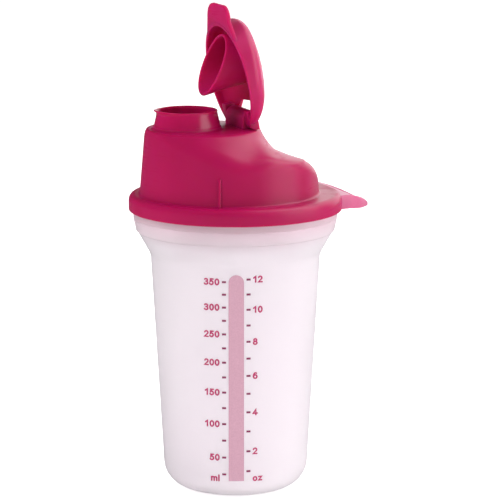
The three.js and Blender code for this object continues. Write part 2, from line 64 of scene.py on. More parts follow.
MM = 0.001  # sizes below are in millimetres, as in the part's source
SIDES = 192
ARC_STEPS = 7
SHARP_ANGLE = math.radians(40.0)
MILLILITRE = 1000.0  # in cubic millimetres
HINGE_X = 3.792
HINGE_Z = 167.7
PLASTIC_IOR = 1.49
GRAIN_REACH = 0.0002  # in metres
CLOUD_DETAIL = 4.0
CLOUD_RANGE = (0.3, 0.7)
GRAIN_DETAIL = 2.0
MARKS_DETAIL = 5.0
MARKS_RANGE = (0.56, 0.72)
BLOTCH_SCALE = 40.0

Colour = tuple[float, float, float]
Corner = tuple[float, float, float]
Flat = tuple[float, float]


class Side(Enum):
    """The two sides of the lid's plane of symmetry."""

    NEAR = -1
    FAR = 1


# Shapes


def turns(count: int = SIDES) -> np.ndarray:
    """Evenly spaced angles of one full turn, in radians."""
    return np.arange(count) * (2.0 * math.pi / count)


def circle(radius: float, z: float, x: float = 0.0) -> np.ndarray:
    """A level ring of points about the upright line at x."""
    turn = turns()
    return np.column_stack([x + radius * np.cos(turn), radius * np.sin(turn), np.full(SIDES, z)])


def smooth_between(value: np.ndarray, low: float, high: float) -> np.ndarray:
    """0 below low, 1 above high and a smooth rise between them."""
    share = np.clip((value - low) / (high - low), 0.0, 1.0)
    return share * share * (3.0 - 2.0 * share)


def rounded_path(corners: Sequence[Corner], steps: int = ARC_STEPS) -> list[Flat]:
    """Rounds the corners of an open outline.

    Args:
        corners: Points (x, y, radius of the round there).
        steps: Pieces in each round.

    Returns:
        The outline's points, rounds included.
    """
    path: list[Flat] = []
    for i, (x, y, radius) in enumerate(corners):
        if radius == 0.0 or i in (0, len(corners) - 1):
            path.append((x, y))
            continue
        here = np.array([x, y])
        back = np.array(corners[i - 1][:2]) - here
        ahead = np.array(corners[i + 1][:2]) - here
        back /= np.linalg.norm(back)
        ahead /= np.linalg.norm(ahead)
        half = math.acos(np.clip(back @ ahead, -1.0, 1.0)) / 2.0
        middle = (back + ahead) / np.linalg.norm(back + ahead)
        centre = here + middle * radius / math.sin(half)
        start = here + back * radius / math.tan(half) - centre
        end = here + ahead * radius / math.tan(half) - centre
        sweep = math.pi - 2.0 * half
        for step in range(steps + 1):
            share = step / steps
            mix = math.sin((1.0 - share) * sweep) * start + math.sin(share * sweep) * end
            path.append(tuple(centre + mix / math.sin(sweep)))
    return path


def arc(x: float, y: float, radius: float, start: float, end: float, steps: int = ARC_STEPS) -> list[Flat]:
    """Points on a round from one angle to another, in degrees."""
    sweep = np.radians(np.linspace(start, end, steps + 1))
    return [(x + radius * math.cos(a), y + radius * math.sin(a)) for a in sweep]


@dataclass
class Shape:
    """Points in millimetres and faces, gathered from closed surfaces before they become one piece."""

    points: list[np.ndarray] = field(default_factory=list)
    faces: list[tuple[int, ...]] = field(default_factory=list)
    count: int = 0

    def add(self, points: np.ndarray, faces: Sequence[Sequence[int]]) -> None:
        """Adds points and the faces between them."""
        self.faces += [tuple(self.count + corner for corner in face) for face in faces]
        self.points.append(np.asarray(points, dtype=float))
        self.count += len(points)

    def loft(self, rings: Sequence[np.ndarray], closed: bool = False, caps: bool = True) -> None:
        """Skins rings with equal counts of points.

        Args:
            rings: Rings in order, each listed the same way round.
            closed: Whether the last ring joins the first.
            caps: Whether the two ends of an open loft are filled.
        """
        size = len(rings[0])
        faces: list[tuple[int, ...]] = []
        for row in range(len(rings) if closed else len(rings) - 1):
            low = row * size
            high = ((row + 1) % len(rings)) * size
            for i in range(size):
                after = (i + 1) % size
                faces.append((low + i, low + after, high + after, high + i))
        if caps and not closed:
            last = (len(rings) - 1) * size
            faces.append(tuple(reversed(range(size))))
            faces.append(tuple(range(last, last + size)))
        self.add(np.vstack(rings), faces)

    def close_end(self, size: int) -> None:
        """Fills the last ring added, which has size points."""
        self.faces.append(tuple(range(self.count - size, self.count)))

    def turned(self, profile: Sequence[Flat], x: float = 0.0, closed: bool = False) -> None:
        """Turns an outline (radius, height) about the upright line at x."""
        self.loft([circle(radius, z, x) for radius, z in profile], closed)

    def moved(self, place: Callable[[np.ndarray], np.ndarray]) -> "Shape":
        """Moves all points gathered so far and returns the shape."""
        self.points = [place(points) for points in self.points]
        return self

    def mesh(self, name: str) -> bpy.types.Mesh:
        """Makes the mesh, with its faces turned outwards."""
        mesh = bpy.data.meshes.new(name)
        mesh.from_pydata((np.vstack(self.points) * MM).tolist(), [], self.faces)
        work = bmesh.new()
        work.from_mesh(mesh)
        bmesh.ops.recalc_face_normals(work, faces=work.faces)
        work.to_mesh(mesh)
        work.free()
        return mesh


def rounded_slab(outline: Sequence[Flat], low: float, high: float, edge: float) -> list[np.ndarray]:
    """Rings of a flat plate with rounded edges.

    Args:
        outline: The plate's outline, anticlockwise.
        low: Height of its underside.
        high: Height of its top.
        edge: Radius of its edges.

    Returns:
        Rings from the underside to the top.
    """
    flat = np.array(outline)
    along = np.roll(flat, -1, axis=0) - np.roll(flat, 1, axis=0)
    along /= np.linalg.norm(along, axis=1, keepdims=True)
    inward = np.column_stack([-along[:, 1], along[:, 0]])
    rings = []
    for level, start in ((low + edge, -90.0), (high - edge, 0.0)):
        for reach, z in arc(0.0, level, edge, start, start + 90.0, ARC_STEPS - 2):
            ring = flat + inward * (edge - reach)
            rings.append(np.column_stack([ring, np.full(len(ring), z)]))
    return rings


def upright(rings: Sequence[np.ndarray]) -> list[np.ndarray]:
    """Turns rings drawn as (x, height, depth) so that their depth runs along y."""
    return [np.column_stack([ring[:, 0], -ring[:, 2], ring[:, 1]]) for ring in rings]


def place_piece(mesh: bpy.types.Mesh, material: bpy.types.Material, body: str) -> bpy.types.Object:
    """Puts a mesh into the scene as a smooth piece that rides on a body.

    Args:
        mesh: The finished mesh, in metres.
        material: Its finish.
        body: Body that carries it.

    Returns:
        The piece.
    """
    mesh.materials.clear()
    mesh.materials.append(material)
    mesh.shade_smooth()
    mesh.set_sharp_from_angle(angle=SHARP_ANGLE)
    piece = bpy.data.objects.new(mesh.name, mesh)
    bpy.context.scene.collection.objects.link(piece)
    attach(piece, body)
    LOG.info("%s: %d faces on %s", piece.name, len(mesh.polygons), body)
    return piece


# Finishes


def srgb(red: int, green: int, blue: int) -> Colour:
    """Turns display values from 0 to 255 into a linear colour."""
    shares = [value / 255.0 for value in (red, green, blue)]
    return tuple(s / 12.92 if s <= 0.04045 else ((s + 0.055) / 1.055) ** 2.4 for s in shares)


class Group(Enum):
    """The shared effects, each one node group."""

    GRAIN = "moulded grain"
    MARKS = "handling marks"


def new_group(kind: Group, inputs: dict[str, float], outputs: Sequence[str]) -> tuple:
    """Starts a node group with number sockets.

    Args:
        kind: Which effect it is.
        inputs: Names and default values of its inputs.
        outputs: Names of its outputs.

    Returns:
        The group, its input node and its output node.
    """
    group = bpy.data.node_groups.new(kind.value, "ShaderNodeTree")
    for name, value in inputs.items():
        socket = group.interface.new_socket(name, in_out="INPUT", socket_type="NodeSocketFloat")
        socket.default_value = value
    for name in outputs:
        group.interface.new_socket(name, in_out="OUTPUT", socket_type="NodeSocketFloat")
    return group, group.nodes.new("NodeGroupInput"), group.nodes.new("NodeGroupOutput")


def set_values(node: bpy.types.Node, values: dict[str, object]) -> None:
    """Sets constants on a node's input sockets."""
    for socket, value in values.items():
        node.inputs[socket].default_value = value


def add_node(
    tree: bpy.types.NodeTree, kind: str, values: dict[str, object] | None = None, **settings: object
) -> bpy.types.Node:
    """Adds a shader node.

    Args:
        tree: Nodes that it joins.
        kind: Its type, without the word ShaderNode.
        values: Constants on its input sockets.
        settings: Its own settings, which are made first.

    Returns:
        The node.
    """
    node = tree.nodes.new(f"ShaderNode{kind}")
    for name, setting in settings.items():
        setattr(node, name, setting)
    set_values(node, values or {})
    return node


def grain_group() -> bpy.types.ShaderNodeTree:
    """Moulded plastic: a cloudy tint, an uneven gloss and a fine surface grain."""
    if Group.GRAIN.value in bpy.data.node_groups:
        return bpy.data.node_groups[Group.GRAIN.value]
    inputs = {"Cloud Scale": 30.0, "Grain Scale": 1800.0, "Gloss Low": 0.3, "Gloss High": 0.4}
    group, given, result = new_group(Group.GRAIN, inputs, ("Cloud", "Gloss", "Height"))
    link = group.links.new
    place = add_node(group, "TexCoord")
    cloud = add_node(group, "TexNoise", {"Detail": CLOUD_DETAIL})
    grain = add_node(group, "TexNoise", {"Detail": GRAIN_DETAIL})
    gloss = add_node(group, "MapRange")
    for noise, scale in ((cloud, "Cloud Scale"), (grain, "Grain Scale")):
        link(place.outputs["Object"], noise.inputs["Vector"])
        link(given.outputs[scale], noise.inputs["Scale"])
    spread = add_node(group, "MapRange", {"From Min": CLOUD_RANGE[0], "From Max": CLOUD_RANGE[1]})
    link(cloud.outputs["Fac"], spread.inputs["Value"])
    link(spread.outputs["Result"], gloss.inputs["Value"])
    link(given.outputs["Gloss Low"], gloss.inputs["To Min"])
    link(given.outputs["Gloss High"], gloss.inputs["To Max"])
    link(spread.outputs["Result"], result.inputs["Cloud"])
    link(gloss.outputs["Result"], result.inputs["Gloss"])
    link(grain.outputs["Fac"], result.inputs["Height"])
    return group


def marks_group() -> bpy.types.ShaderNodeTree:
    """Handling marks: thin scattered scuffs, stronger where a blotchy mask lets them show."""
    if Group.MARKS.value in bpy.data.node_groups:
        return bpy.data.node_groups[Group.MARKS.value]
    inputs = {"Scale": 90.0, "Stretch": 9.0, "Amount": 0.3}
    group, given, result = new_group(Group.MARKS, inputs, ("Mask",))
    link = group.links.new
    place = add_node(group, "TexCoord")
    squeeze = add_node(group, "CombineXYZ", {"X": 1.0, "Y": 1.0})
    link(given.outputs["Stretch"], squeeze.inputs["Z"])
    drawn = add_node(group, "VectorMath", operation="MULTIPLY")
    link(place.outputs["Object"], drawn.inputs[0])
    link(squeeze.outputs["Vector"], drawn.inputs[1])
    lines = add_node(group, "TexNoise", {"Detail": MARKS_DETAIL})
    link(drawn.outputs["Vector"], lines.inputs["Vector"])
    link(given.outputs["Scale"], lines.inputs["Scale"])
    thin = add_node(group, "MapRange", {"From Min": MARKS_RANGE[0], "From Max": MARKS_RANGE[1]})
    link(lines.outputs["Fac"], thin.inputs["Value"])
    blotch = add_node(group, "TexNoise", {"Scale": BLOTCH_SCALE})
    link(place.outputs["Object"], blotch.inputs["Vector"])
    shown = add_node(group, "Math", operation="MULTIPLY")
    link(thin.outputs["Result"], shown.inputs[0])
    link(blotch.outputs["Fac"], shown.inputs[1])
    amount = add_node(group, "Math", operation="MULTIPLY")
    link(shown.outputs["Value"], amount.inputs[0])
    link(given.outputs["Amount"], amount.inputs[1])
    link(amount.outputs["Value"], result.inputs["Mask"])
    return group


@dataclass(frozen=True)
class PlasticFinish:
    """A moulded plastic with a cloudy colour, fine grain and faint handling marks."""

    name: str
    colour: Colour
    deep_colour: Colour
    gloss: tuple[float, float]
    cloud_scale: float = 30.0
    grain_scale: float = 1800.0
    grain_depth: float = 0.06
    marks: float = 0.25
    subsurface: float = 0.0
    subsurface_radius: Colour = (1.0, 0.3, 0.45)
    subsurface_scale: float = 0.003
    transmission: float = 0.0
    specular: float = 0.5
    # Painted light: a pink tint towards the top that stands in for the lid's light on the cup, between the
    # heights below.
    painted_lid_light: Colour | None = None
    painted_lid_light_low: float = 0.112
    painted_lid_light_high: float = 0.13

    def material(self) -> bpy.types.Material:
        """Makes the material once and returns it."""
        if self.name in bpy.data.materials:
            return bpy.data.materials[self.name]
        material = bpy.data.materials.new(self.name)
        material.use_nodes = True
        tree = material.node_tree
        link = tree.links.new
        shader = tree.nodes["Principled BSDF"]
        set_values(
            shader,
            {
                "Subsurface Weight": self.subsurface,
                "Subsurface Radius": self.subsurface_radius,
                "Subsurface Scale": self.subsurface_scale,
                "Transmission Weight": self.transmission,
                "IOR": PLASTIC_IOR,
                "Specular IOR Level": self.specular,
            },
        )
        scales = {"Cloud Scale": self.cloud_scale, "Grain Scale": self.grain_scale}
        shine = {"Gloss Low": self.gloss[0], "Gloss High": self.gloss[1]}
        grain = add_node(tree, "Group", scales | shine, node_tree=grain_group())
        marks = add_node(tree, "Group", {"Amount": self.marks}, node_tree=marks_group())
        tones = {"A": (*self.deep_colour, 1.0), "B": (*self.colour, 1.0)}
        tint = add_node(tree, "Mix", tones, data_type="RGBA")
        link(grain.outputs["Cloud"], tint.inputs["Factor"])
        link(self.with_painted_lid_light(tree, tint.outputs["Result"]), shader.inputs["Base Color"])
        rough = add_node(tree, "Math", operation="ADD")
        link(grain.outputs["Gloss"], rough.inputs[0])
        link(marks.outputs["Mask"], rough.inputs[1])
        link(rough.outputs["Value"], shader.inputs["Roughness"])
        bump = add_node(tree, "Bump", {"Strength": self.grain_depth, "Distance": GRAIN_REACH})
        link(grain.outputs["Height"], bump.inputs["Height"])
        link(bump.outputs["Normal"], shader.inputs["Normal"])
        return material

    def with_painted_lid_light(self, tree: bpy.types.ShaderNodeTree, colour: bpy.types.NodeSocket) -> bpy.types.NodeSocket:
        """Paints light into a colour towards the top: a pink tint that stands in for the lid's pink light
        falling on the cup.

        Args:
            tree: The material's nodes.
            colour: The colour to tint.

        Returns:
            The colour with its painted light, or the same one where the finish has none.
        """
        if self.painted_lid_light is None:
            return colour
        place = add_node(tree, "TexCoord")
        split = add_node(tree, "SeparateXYZ")
        span = {"From Min": self.painted_lid_light_low, "From Max": self.painted_lid_light_high}
        rise = add_node(tree, "MapRange", span, interpolation_type="SMOOTHSTEP")
        mix = add_node(tree, "Mix", {"B": (*self.painted_lid_light, 1.0)}, data_type="RGBA")
        tree.links.new(place.outputs["Object"], split.inputs["Vector"])
        tree.links.new(split.outputs["Z"], rise.inputs["Value"])
        tree.links.new(rise.outputs["Result"], mix.inputs["Factor"])
        tree.links.new(colour, mix.inputs["A"])
        return mix.outputs["Result"]


def ink(name: str, colour: Colour, deep_colour: Colour) -> PlasticFinish:
    """A matt printed ink with a fine speckle."""
    return PlasticFinish(name, colour, deep_colour, (0.5, 0.6), cloud_scale=1500.0, grain_scale=5000.0)


LID_FINISH = PlasticFinish(
    "magenta moulding", srgb(159, 7, 73), srgb(151, 6, 68), (0.33, 0.4), subsurface=0.6, specular=0.27
)
SPOUT_FINISH = PlasticFinish(
    "polished magenta moulding",
    srgb(168, 9, 78),
    srgb(160, 8, 73),
    (0.22, 0.28),
    marks=0.04,
    subsurface=0.6,
    specular=0.44,
)
# The cap's plastic: its stronger subsurface is real translucency, and its colour, lighter than the lid's, is
# painted light that lifts the shaded inside of the cap.
CAP_FINISH_PAINTED_LIGHTER = PlasticFinish(
    "thin-walled magenta moulding painted lighter",
    srgb(166, 12, 84),
    srgb(158, 10, 78),
    (0.36, 0.44),
    subsurface=0.8,
    subsurface_scale=0.005,
    specular=0.4,
)
# Same magenta plastic as the lid, painted much lighter: painted light for the glow through the thin tab; its
# subsurface part is real translucency.
TAB_PAINTED_LIGHTER_FINISH = PlasticFinish(
    "magenta moulding painted lighter", srgb(187, 90, 127), srgb(180, 82, 119), (0.3, 0.36), subsurface=0.3, specular=0.4
)
CUP_FINISH = PlasticFinish(
    "translucent cup moulding",
    srgb(248, 242, 246),
    srgb(246, 239, 244),
    (0.36, 0.42),
    cloud_scale=22.0,
    marks=0.02,
    transmission=0.63,
    specular=0.2,
    # Painted light: the pink tint near the neck stands in for the lid's light shining onto the cup.
    painted_lid_light=srgb(247, 217, 229),
)
WHEEL_FINISH = PlasticFinish(
    "natural wheel moulding", srgb(228, 206, 218), srgb(220, 196, 210), (0.4, 0.5), subsurface=0.1
)
BAR_INK = ink("pale bar ink", srgb(191, 146, 163), srgb(181, 136, 153))
NUMBER_INK = ink("magenta number ink", srgb(178, 44, 96), srgb(166, 36, 88))
TICK_INK = ink("dark tick ink", srgb(136, 38, 82), srgb(124, 30, 74))


# Cup and its printed scale


@dataclass
class Cup:
    """The translucent cup with its tapered body, shoulder and neck."""

    base_radius: float = 32.0
    taper: float = 0.0571
    corner: float = 11.2
    wall: float = 1.5
    floor: float = 2.0
    body_height: float = 107.0
    shoulder_height: float = 10.6
    shoulder_growth: float = 6.2
    neck_growth: float = 1.4
    neck_blend: float = 5.5
    neck_height: float = 14.5
    rim_round: float = 0.7
    shoulder_round: float = 9.0
    middle_radius: float = 0.4
    fill_radius: float = 30.95
    fill_low: float = 4.4
    line_depth: float = 0.3
    line_height: float = 0.35
    line_round: float = 0.1
    inner_line: float = 0.02
    neck_round: float = 4.0
    groove_z: float = 123.8

    @property
    def rim_z(self) -> float:
        """Height of the rim."""
        return self.body_height + self.shoulder_height + self.neck_height

    def radius(self, z: float) -> float:
        """Outer radius of the body at a height."""
        wall = self.base_radius + self.taper * z
        if z >= self.corner:
            return wall
        centre = self.base_radius + self.taper * self.corner - self.corner
        return centre + math.sqrt(self.corner**2 - (self.corner - z) ** 2)

    def outline(self, inset: float, floor: float, lines: float) -> list[Flat]:
        """Outline from the middle of the floor up to the rim's round.

        Args:
            inset: 0 for the outside, the wall for the inside.
            floor: Height of the surface at the middle.
            lines: Depth of the two fine lines round the neck.

        Returns:
            Points (radius, height).
        """
        shoulder = self.base_radius + self.taper * self.body_height - inset
        neck_low = shoulder + self.shoulder_growth
        neck = neck_low + self.neck_growth
        neck_z = self.body_height + self.shoulder_height
        groove = self.line_height
        return rounded_path(
            [
                (self.middle_radius, floor, 0.0),
                (self.base_radius + self.taper * floor - inset, floor, self.corner - inset),
                (shoulder, self.body_height, self.shoulder_round),
                (neck_low - lines, neck_z, self.line_round),
                (neck_low + lines, neck_z + groove, self.line_round),
                (neck, neck_z + self.neck_blend, self.neck_round),
                (neck, self.groove_z, self.line_round),
                (neck - lines, self.groove_z + groove / 2.0, self.line_round),
                (neck, self.groove_z + groove, self.line_round),
                (neck, self.rim_z - self.rim_round, 0.0),
            ]
        )

    def height_of(self, millilitres: float) -> float:
        """Height up to which the cone inside the body holds a volume."""
        low = (self.fill_radius + self.taper * self.fill_low) ** 3
        cube = low + 3.0 * self.taper * millilitres * MILLILITRE / math.pi
        return (cube ** (1.0 / 3.0) - self.fill_radius) / self.taper

    def build(self) -> bpy.types.Object:
        """Makes the cup."""
        outside = self.outline(0.0, 0.0, self.line_depth)
        inside = self.outline(self.wall, self.floor, self.inner_line)
        rim_radius = outside[-1][0]
        rim = rounded_path(
            [
                outside[-1] + (0.0,),
                (rim_radius, self.rim_z, self.rim_round),
                (rim_radius - self.wall, self.rim_z, self.rim_round),
                inside[-1] + (0.0,),
            ]
        )
        shape = Shape()
        shape.turned(outside + rim[2:-2] + inside[::-1])
        piece = place_piece(shape.mesh("cup_body"), CUP_FINISH.material(), "cup")
        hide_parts("cup")
        return piece


@dataclass(frozen=True)
class ScaleColumn:
    """One printed column of marks: its unit, the volume of a step and the side of the bar that it is on."""

    unit: str
    step_ml: float
    step_value: int
    marks: int
    numbered_every: int
    side: int


ML_COLUMN = ScaleColumn("ml", 25.0, 25, 14, 2, -1)
OZ_COLUMN = ScaleColumn("oz", 29.5735, 1, 12, 2, 1)


@dataclass(frozen=True)
class Glyph:
    """A letter of height 1: its advance and the middle lines of its pen strokes."""

    width: float
    strokes: tuple[list[Flat], ...]


def bow(x: float, y: float, wide: float, high: float, start: float, end: float) -> list[Flat]:
    """Points on an upright ellipse from one angle to another, in degrees."""
    return [(x + wide * a, y + high * b) for a, b in arc(0.0, 0.0, 1.0, start, end, 16)]


GLYPHS = {
    "0": Glyph(0.79, (bow(0.38, 0.5, 0.25, 0.4, 0.0, 360.0),)),
    "1": Glyph(0.72, ([(0.14, 0.7), (0.42, 0.9), (0.42, 0.1)],)),
    "2": Glyph(0.79, ([*bow(0.37, 0.67, 0.24, 0.23, 165.0, -35.0), (0.12, 0.1), (0.64, 0.1)],)),
    "3": Glyph(
        0.79, ([*bow(0.35, 0.71, 0.22, 0.19, 150.0, -80.0), *bow(0.35, 0.31, 0.26, 0.21, 80.0, -155.0)],)
    ),
    "4": Glyph(0.79, ([(0.48, 0.1), (0.48, 0.9), (0.1, 0.32), (0.68, 0.32)],)),
    "5": Glyph(0.79, ([(0.6, 0.9), (0.22, 0.9), (0.14, 0.48), *bow(0.35, 0.36, 0.26, 0.26, 130.0, -155.0)],)),
    "6": Glyph(0.79, (bow(0.38, 0.35, 0.25, 0.25, 0.0, 360.0), bow(0.42, 0.4, 0.29, 0.5, 180.0, 60.0))),
    "8": Glyph(0.79, (bow(0.38, 0.71, 0.2, 0.19, 0.0, 360.0), bow(0.38, 0.3, 0.25, 0.21, 0.0, 360.0))),
    "m": Glyph(
        1.1,
        (
            [(0.14, 0.1), (0.14, 0.66)],
            [*bow(0.33, 0.48, 0.19, 0.18, 180.0, 0.0), (0.52, 0.1)],
            [*bow(0.71, 0.48, 0.19, 0.18, 180.0, 0.0), (0.9, 0.1)],
        ),
    ),
    "l": Glyph(0.3, ([(0.12, 0.1), (0.12, 0.94)],)),
    "o": Glyph(0.82, (bow(0.38, 0.38, 0.25, 0.28, 0.0, 360.0),)),
    "z": Glyph(0.7, ([(0.12, 0.64), (0.54, 0.64), (0.1, 0.12), (0.56, 0.12)],)),
}


@dataclass
class MeasuringScale:
    """The ink on the cup: a pale bar, ticks, numbers and units.

    Marks stand at the volume that the cup holds, eased to the photographed heights between.
    """

    cup: Cup
    azimuth: float = math.radians(-20.4)
    bar_half: float = 3.4
    bar_low: float = 9.4
    bar_high: float = 104.0
    tick_start: float = 4.5
    tick_end: float = 6.3
    tick_half: float = 0.45
    number_start: float = 7.25
    number_height: float = 3.1
    unit_z: float = 10.6
    pen: float = 0.11
    ink_low: float = 0.03
    ink_high: float = 0.09
    bow_low_ml: float = 50.0
    bow_high_ml: float = 350.0
    bow_rise: float = 0.95
    bar_rows: int = 60
    bar_columns: int = 9
    bar_end: float = 88.0
    pen_mitre: float = 0.5
    pen_steps: int = 7

    def wrapped(self, flat: np.ndarray) -> np.ndarray:
        """Lays flat points (distance round the cup, height, thickness) on the cup's wall."""
        radii = np.array([self.cup.radius(z) for z in flat[:, 1]])
        turn = self.azimuth + flat[:, 0] / radii
        reach = radii + flat[:, 2]
        return np.column_stack([reach * np.sin(turn), -reach * np.cos(turn), flat[:, 1]])

    def film(self, shape: Shape, rows: Sequence[tuple[float, float, float]]) -> None:
        """Adds a film of ink.

        Args:
            shape: Shape that it goes into.
            rows: Its rows upwards, each (left edge, right edge, height).
        """
        rings = []
        for left, right, z in rows:
            across = np.linspace(left, right, self.bar_columns)
            level = np.full_like(across, z)
            top = np.column_stack([across, level, np.full_like(across, self.ink_high)])
            under = np.column_stack([across[::-1], level, np.full_like(across, self.ink_low)])
            rings.append(self.wrapped(np.vstack([top, under])))
        shape.loft(rings)

    def stroke(self, shape: Shape, line: np.ndarray, half: float) -> None:
        """Adds one pen stroke with round ends.

        Args:
            shape: Shape that it goes into.
            line: Its middle line, points (distance round the cup, height).
            half: Half its width.
        """
        steps = np.diff(line, axis=0)
        steps /= np.linalg.norm(steps, axis=1, keepdims=True)
        before = np.vstack([steps[:1], steps])
        after = np.vstack([steps, steps[-1:]])
        along = before + after
        along /= np.linalg.norm(along, axis=1, keepdims=True)
        across = np.column_stack([-along[:, 1], along[:, 0]])
        widths = half / np.maximum(np.sum(along * after, axis=1, keepdims=True), self.pen_mitre)
        rows = [(line - across * widths), (line + across * widths)]
        caps = np.radians(np.linspace(0.0, 180.0, self.pen_steps))[1:-1]
        first = [line[0] - half * (np.cos(a) * across[0] + np.sin(a) * along[0]) for a in caps[::-1]]
        last = [line[-1] + half * (np.sin(a) * along[-1] - np.cos(a) * across[-1]) for a in caps]
        loop = np.vstack([rows[0], last, rows[1][::-1], first])
        rings = []
        for lift in (self.ink_low, self.ink_high):
            rings.append(self.wrapped(np.column_stack([loop, np.full(len(loop), lift)])))
        shape.loft(rings)

    def lettering(self, shape: Shape, words: str, edge: float, side: int, middle_z: float) -> None:
        """Adds a word or number.

        Args:
            shape: Shape that it goes into.
            words: What it says.
            edge: Distance of its nearer edge from the bar's middle.
            side: Side of the bar that it is on.
            middle_z: Height of the middle of a tall letter.
        """
        letters = [GLYPHS[letter] for letter in words]
        width = sum(letter.width for letter in letters) * self.number_height
        left = side * edge - (width if side < 0 else 0.0)
        low = middle_z - self.number_height / 2.0
        for letter in letters:
            for line in letter.strokes:
                place = np.array(line) * self.number_height + np.array([left, low])
                self.stroke(shape, place, self.pen * self.number_height)
            left += letter.width * self.number_height

    def mark_z(self, millilitres: float) -> float:
        """Height of a mark: the cone's volume, and up to bow_rise more in the middle, as the print shows."""
        share = (millilitres - self.bow_low_ml) / (self.bow_high_ml - self.bow_low_ml)
        return self.cup.height_of(millilitres) + self.bow_rise * max(0.0, 4.0 * share * (1.0 - share))

    def column(self, ticks: Shape, numbers: Shape, column: ScaleColumn) -> None:
        """Adds a column's ticks, numbers and unit."""
        for mark in range(1, column.marks + 1):
            z = self.mark_z(column.step_ml * mark)
            ends = sorted((column.side * self.tick_start, column.side * self.tick_end))
            self.film(ticks, [(*ends, z - self.tick_half), (*ends, z + self.tick_half)])
            if mark % column.numbered_every == 0:
                value = str(column.step_value * mark)
                self.lettering(numbers, value, self.number_start, column.side, z)
        self.lettering(numbers, column.unit, self.number_start, column.side, self.unit_z)

    def build(self) -> None:
        """Makes the bar, the ticks and the numbers."""
        heights = np.linspace(self.bar_low, self.bar_high - self.bar_half, self.bar_rows)
        rows = [(-self.bar_half, self.bar_half, z) for z in heights]
        for half, rise in arc(0.0, 0.0, self.bar_half, 0.0, self.bar_end)[1:]:
            rows.append((-half, half, self.bar_high - self.bar_half + rise))
        bar = Shape()
        self.film(bar, rows)
        piece = place_piece(bar.mesh("level_bar_ink"), BAR_INK.material(), "cup")
        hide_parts("level_bar")
        ticks, numbers = Shape(), Shape()
        for column in (ML_COLUMN, OZ_COLUMN):
            self.column(ticks, numbers, column)
        place_piece(ticks.mesh("scale_ticks"), TICK_INK.material(), "cup")
        place_piece(numbers.mesh("scale_numbers"), NUMBER_INK.material(), "cup")


# Mixing wheel


@dataclass
class MixingWheel:
    """The loose wheel that rests on the shoulder inside the neck."""

    top_z: float = 117.2
    low_z: float = 108.6
    rim_radius: float = 42.28
    rim_low_radius: float = 40.5
    rim_inner: float = 38.6
    rim_height: float = 3.0
    hub_low: float = 6.0
    hub_high: float = 3.0
    blades: int = 4
    blade: float = 1.6
    blade_start: float = 2.0
    blade_low_end: float = 36.4
    blade_end: float = 39.2
    blade_step: float = 112.6
    pitch: float = math.radians(22.0)
    turn: float = math.radians(23.7)
    edge: float = 0.4
    hub_middle: float = 0.2
    hub_steps: int = 5
    rim_seam: float = 1.0
    rim_steps: int = 4
    blade_steps: int = 3

    def blade_rings(self) -> list[np.ndarray]:
        """Cross-sections of one pitched blade along +X."""
        stations = (
            (self.blade_start, self.low_z),
            (self.blade_low_end, self.low_z),
            (self.blade_low_end + self.edge, self.blade_step),
            (self.blade_end, self.blade_step),
        )
        rings = []
        for x, low_z in stations:
            half = self.blade / 2.0
            corners = [(-half, low_z), (half, low_z), (half, self.top_z), (-half, self.top_z)]
            loop = []
            for i, (y, z) in enumerate(corners):
                start = -180.0 + 90.0 * i
                in_y = y - math.copysign(self.edge, y)
                in_z = z + self.edge if i < 2 else z - self.edge
                loop += arc(in_y, in_z, self.edge, start, start + 90.0, self.blade_steps)
            flat = np.array(loop)
            lean = (flat[:, 1] - (self.low_z + self.top_z) / 2.0) * math.tan(self.pitch)
            rings.append(np.column_stack([np.full(len(flat), x), flat[:, 0] - lean, flat[:, 1]]))
        return rings

    def build(self) -> bpy.types.Object:
        """Makes the wheel."""
        shape = Shape()
        rim_low = self.top_z - self.rim_height
        rim = rounded_path(
            [
                (self.rim_inner, self.top_z - self.rim_seam, 0.0),
                (self.rim_inner, rim_low, self.edge),
                (self.rim_low_radius, rim_low, self.edge),
                (self.rim_radius, self.top_z, self.edge),
                (self.rim_inner, self.top_z, self.edge),
                (self.rim_inner, self.top_z - self.rim_seam, 0.0),
            ],
            self.rim_steps,
        )
        shape.turned(rim[:-1], closed=True)
        hub = rounded_path(
            [
                (self.hub_middle, self.low_z, 0.0),
                (self.hub_low, self.low_z, self.edge),
                (self.hub_high, self.top_z, 2.0 * self.edge),
                (self.hub_middle, self.top_z, 0.0),
            ],
            self.hub_steps,
        )
        shape.turned(hub)
        for blade in range(self.blades):
            angle = self.turn + 2.0 * math.pi * blade / self.blades
            cosine, sine = math.cos(angle), math.sin(angle)
            spin = np.array([[cosine, sine, 0.0], [-sine, cosine, 0.0], [0.0, 0.0, 1.0]])
            shape.loft([ring @ spin for ring in self.blade_rings()])
        finish = WHEEL_FINISH.material()
        piece = place_piece(shape.mesh("mixing_wheel"), finish, "blending_insert")
        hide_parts("blending_insert")
        return piece


# Lid


def smooth_least(a: np.ndarray, b: np.ndarray, rounding: np.ndarray | float) -> np.ndarray:
    """The lesser of two distances, blended where they are close."""
    share = np.clip(0.5 + (b - a) / (2.0 * rounding), 0.0, 1.0)
    return b * (1.0 - share) + a * share - rounding * share * (1.0 - share)


def smooth_most(a: np.ndarray, b: np.ndarray, rounding: np.ndarray | float) -> np.ndarray:
    """The greater of two distances, blended where they are close."""
    return -smooth_least(-a, -b, rounding)


